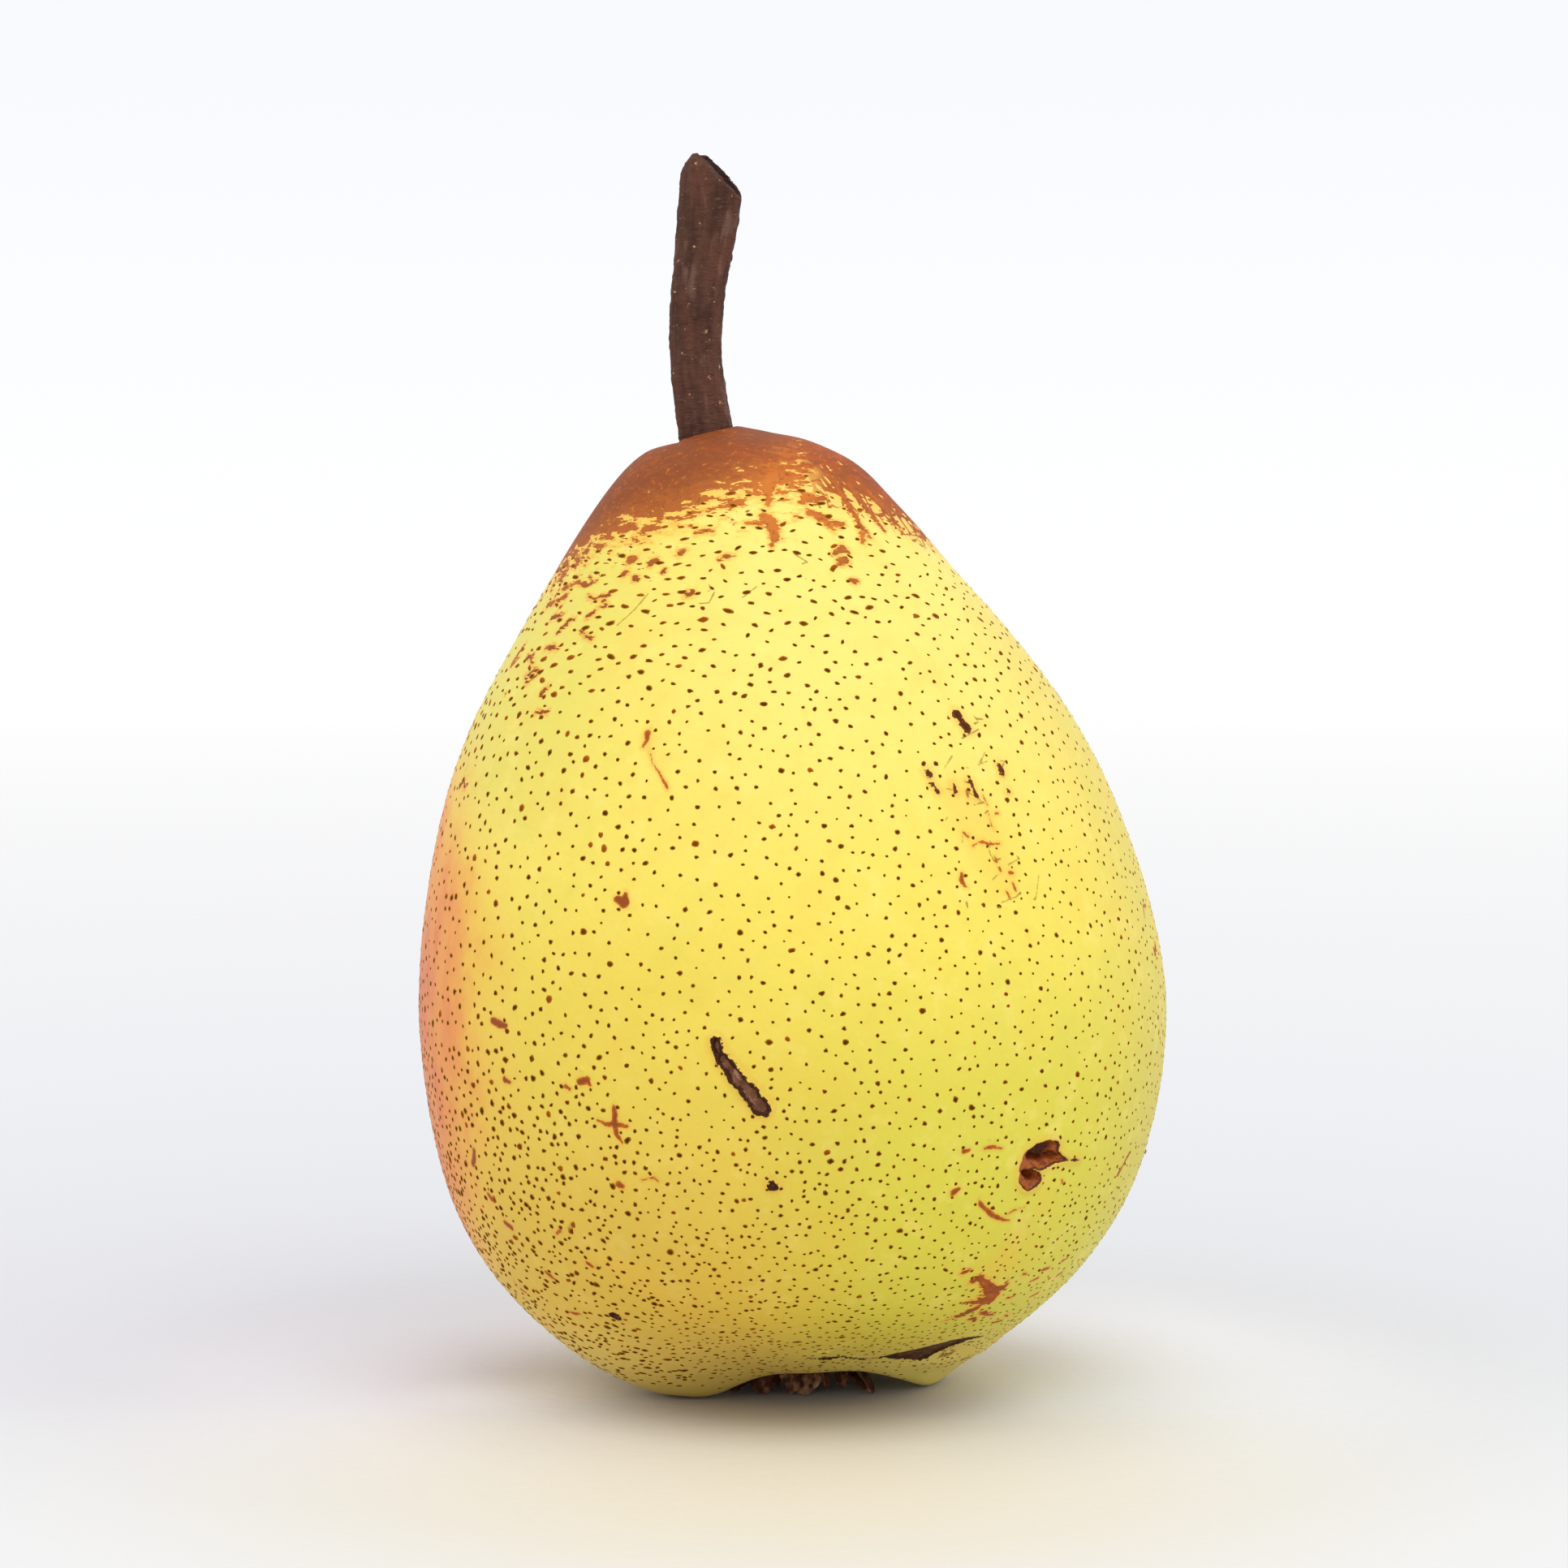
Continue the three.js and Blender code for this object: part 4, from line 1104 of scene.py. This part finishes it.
# %% Hang the shrivelled strips
STRIPS = [  # direction in degrees, how far out the tip reaches, its height, width, cup, twist, paleness
    (-134, 9.4, 0.5, 4.6, 0.3, 8, 0.4),
    (-123, 8.4, 0.9, 3.4, -0.3, -15, 0.3),
    (-112, 7.0, 1.1, 2.8, 0.4, 25, 0.0),
    (-101, 7.2, 0.7, 3.6, 0.4, -10, 0.6),
    (-88, 7.0, 0.6, 3.6, -0.2, 15, 0.75),
    (-76, 7.0, 1.0, 2.6, 0.3, -30, 0.1),
    (-62, 7.4, 0.9, 2.0, 0.4, 20, 0.3),
    (-47, 8.8, 0.2, 1.9, 0.3, -15, 0.35),
    (-20, 5.4, 0.8, 1.6, 0.4, 15, 0.2),
    (15, 5.0, 0.6, 1.8, -0.4, -20, 0.4),
    (60, 5.6, 0.5, 1.6, 0.5, 30, 0.1),
    (95, 4.6, 0.9, 1.5, 0.3, -30, 0.6),
    (140, 5.8, 0.6, 1.7, 0.5, 15, 0.2),
    (175, 5.2, 0.4, 1.6, -0.3, 25, 0.5),
]
STRIP_ROOT = (1.9, 5.6)  # distance from the middle, and height
STRIP_BEND = (0.75, 4.6)  # where a strip bends down: a share of its reach, and the height
STRIP_STEPS, STRIP_ACROSS = 14, 5
STRIP_THICK = 0.14
SHRIVEL = 0.22  # how far its points stray

steps, rows = np.linspace(0, 1, STRIP_STEPS), np.linspace(-1, 1, STRIP_ACROSS)
along, across = np.meshgrid(steps, rows, indexing="ij")
strip_points, strip_faces, paleness = [], [], []
for direction, reach, tip, width, cup, twist, pale in STRIPS:
    root, bend, end = np.array(STRIP_ROOT), np.array(STRIP_BEND) * [reach, 1], np.array([reach, tip])
    line = np.multiply.outer((1 - along) ** 2, root) + np.multiply.outer(2 * along * (1 - along), bend)
    line += np.multiply.outer(along**2, end)
    half = width / 2 * (1 - along**7) ** 0.5 * (0.55 + 0.45 * along) * (1 + 0.2 * np.sin(along * 23))
    angle = np.radians(twist) * along * 2
    aside, raised = across * half * np.cos(angle), across * half * np.sin(angle) + cup * across**2 * half
    out, side = np.radians(direction), np.radians(direction + 90)
    grid = np.stack(
        [
            CALYX_MIDDLE[0] + line[..., 0] * math.cos(out) + aside * math.cos(side),
            CALYX_MIDDLE[1] + line[..., 0] * math.sin(out) + aside * math.sin(side),
            line[..., 1] + raised,
        ],
        axis=-1,
    ).reshape(-1, 3)
    first = len(paleness)
    strip_points.extend(grid.tolist())
    paleness.extend([pale] * len(grid))
    for i in range(STRIP_STEPS - 1):
        for j in range(STRIP_ACROSS - 1):
            k = first + i * STRIP_ACROSS + j
            strip_faces.append((k, k + 1, k + STRIP_ACROSS + 1, k + STRIP_ACROSS))

strip_points = np.array(strip_points)
strip_points += SHRIVEL * np.stack([waves(strip_points, 0.8, seed, 2) for seed in (21, 22, 23)], axis=1)
strip_mesh = mesh_of("dry_strips", (strip_points * MM).tolist(), strip_faces)
store(strip_mesh, "pale", np.array(paleness))
strips = add_object("dry_strips", strip_mesh)
thicken = strips.modifiers.new("thickness", "SOLIDIFY")
thicken.thickness, thicken.offset = STRIP_THICK * MM, 0.0
round_off(strips, levels=2)
wrinkle(strips, STRIP_WRINKLE)
print("strips:", len(strips.data.polygons), "faces")

# %% Colour the dry pieces
DRY_DARK, DRY_BROWN, DRY_PALE = colour(70, 36, 24), colour(122, 76, 54), colour(178, 136, 100)
calyx_material, calyx_shader, start, place = new_material("dry_calyx")
veins, pale = start.stored("wrinkle"), start.stored("pale")
crumple = place.cloud(0.7, 3.0, 0.6)
dried = (veins + crumple * 0.6).ease(-0.7, 0.8).over(DRY_DARK, DRY_BROWN)
dried = (crumple * 0.6 + veins * 0.25 + pale).ease(0.3, 1.4).over(dried, DRY_PALE)
finish_material(calyx_shader, dried, 0.85 + crumple * 0.05, crumple * 0.04, Specular_IOR_Level=0.15)
dress(calyx, calyx_material, "calyx", "calyx")
dress(strips, calyx_material, "calyx")

# %% [markdown]
# ## The table and the light
# The pear stands on a pale sheet in a white room of light. Light and shade are painted into the sheet's
# colour:
# a painted contact shadow in front of the pear's foot, a painted shadow on its left, a painted pool of light
# by its left side, a warm painted reflection of the fruit in front of it, and painted shade behind it. The
# sheet is a wide disc that fades out with distance, so that it has no visible edge from any side and the
# room's white takes over behind the pear.

# %% Lay the pale sheet
FLOOR_RADIUS = 1500.0
FLOOR_SIDES = 96
shape = bmesh.new()
bmesh.ops.create_circle(shape, cap_ends=True, radius=FLOOR_RADIUS * MM, segments=FLOOR_SIDES)
floor_mesh = bpy.data.meshes.new("floor")
shape.to_mesh(floor_mesh)
shape.free()
floor = add_object("floor", floor_mesh)

PAPER_NEAR, PAPER_FRONT, PAPER_BACK = colour(228, 228, 232), colour(218, 218, 218), colour(209, 209, 211)
PAPER_PAINTED_BOUNCE, PAPER_SHADE, PAPER_LIT = colour(219, 210, 190), colour(116, 90, 36), colour(250, 250, 255)
PAPER_LEFT_SHADOW = colour(204, 203, 208)
FADE_FROM, FADE_TO = 66.0, 1400.0  # millimetres

floor_material, floor_shader, start, place = new_material("pale_sheet")
x, y, _ = place.parts()
away = (x * x + y * y).root()
# painted light and shade: the sheet is painted lighter close to the pear, and darker behind it than in front
paper = away.ease(26, 68).over(PAPER_NEAR, y.ease(-70, 42).over(PAPER_FRONT, PAPER_BACK))
# a painted shadow on the sheet to the left of the pear and behind its line
paper = (x.ease(-8, -45) * (x.ease(-160, -70) * 0.4 + 0.6) * y.ease(-28, -4) * 0.34).over(paper, PAPER_LEFT_SHADOW)
# a painted pool of light on the sheet beside the pear's left side
lit = ((x + 20.5) * (x + 20.5) * 0.6 + (y + 7) * (y + 7)).root()
paper = (lit.ease(13, 0) * 0.85).over(paper, PAPER_LIT)
# a warm painted reflection of the yellow fruit on the sheet in front of it
bounce_spot = (x * x * 0.35 + (y + 48) * (y + 48) * 0.4).root()
paper = (bounce_spot.ease(42, 0) * y.ease(-6, -24)).over(paper, PAPER_PAINTED_BOUNCE)
# a painted contact shadow on the sheet just in front of the pear's foot
close = (x * x * 0.8 + (y + 12) * (y + 12)).root()
paper = (close.ease(22, 4) * 0.5).over(paper, PAPER_SHADE)
grit = place.cloud(1.5, 1.0)
finish_material(floor_shader, paper, 0.9 + grit * 0.02, grit * 0.02, Specular_IOR_Level=0.1)
clear = start.node("ShaderNodeBsdfTransparent")
fade = (away / FADE_FROM).most(1.0).log(FADE_TO / FADE_FROM).least(1.0)
principled = Wire(start.tree, floor_shader.outputs[0])
mixed = start.node("ShaderNodeMixShader", None, {0: fade, 1: principled, 2: clear})
start.tree.links.new(mixed.socket, start.tree.nodes["Material Output"].inputs["Surface"])
floor_mesh.materials.append(floor_material)
print("sheet:", len(floor_material.node_tree.nodes), "nodes")

# %% Fill the room with white light
ROOM_LOW, ROOM_HIGH = (1.0, 1.0, 1.0, 1.0), colour(248, 250, 254)
ROOM_STRENGTH = 1.0
world = bpy.data.worlds.new("room")
bpy.context.scene.world = world
world.use_nodes = True
direction = Wire(world.node_tree).node("ShaderNodeTexCoord", output="Generated")
glow = direction.parts()[2].ease(-0.02, 0.12).over(ROOM_LOW, ROOM_HIGH)
background = world.node_tree.nodes["Background"]
world.node_tree.links.new(glow.socket, background.inputs["Color"])
background.inputs["Strength"].default_value = ROOM_STRENGTH

# %% Hang two soft lamps
LAMP_AIM = Vector((0, 0, 50))
LAMPS = {  # place in millimetres, size, watts
    "key_lamp": ((230.0, -640.0, 980.0), 700.0, 3.5),
    "top_lamp": ((-60.0, 80.0, 1100.0), 600.0, 2.0),
}
for name, (where, across, watts) in LAMPS.items():
    lamp = add_object(name, bpy.data.lights.new(name, "AREA"))
    lamp.data.energy, lamp.data.size = watts, across * MM
    lamp.location = Vector(where) * MM
    lamp.rotation_euler = (LAMP_AIM - Vector(where)).to_track_quat("-Z", "Y").to_euler()
    lamp.visible_camera = False
bpy.context.scene.view_settings.view_transform = "Standard"
print("lamps:", list(LAMPS))
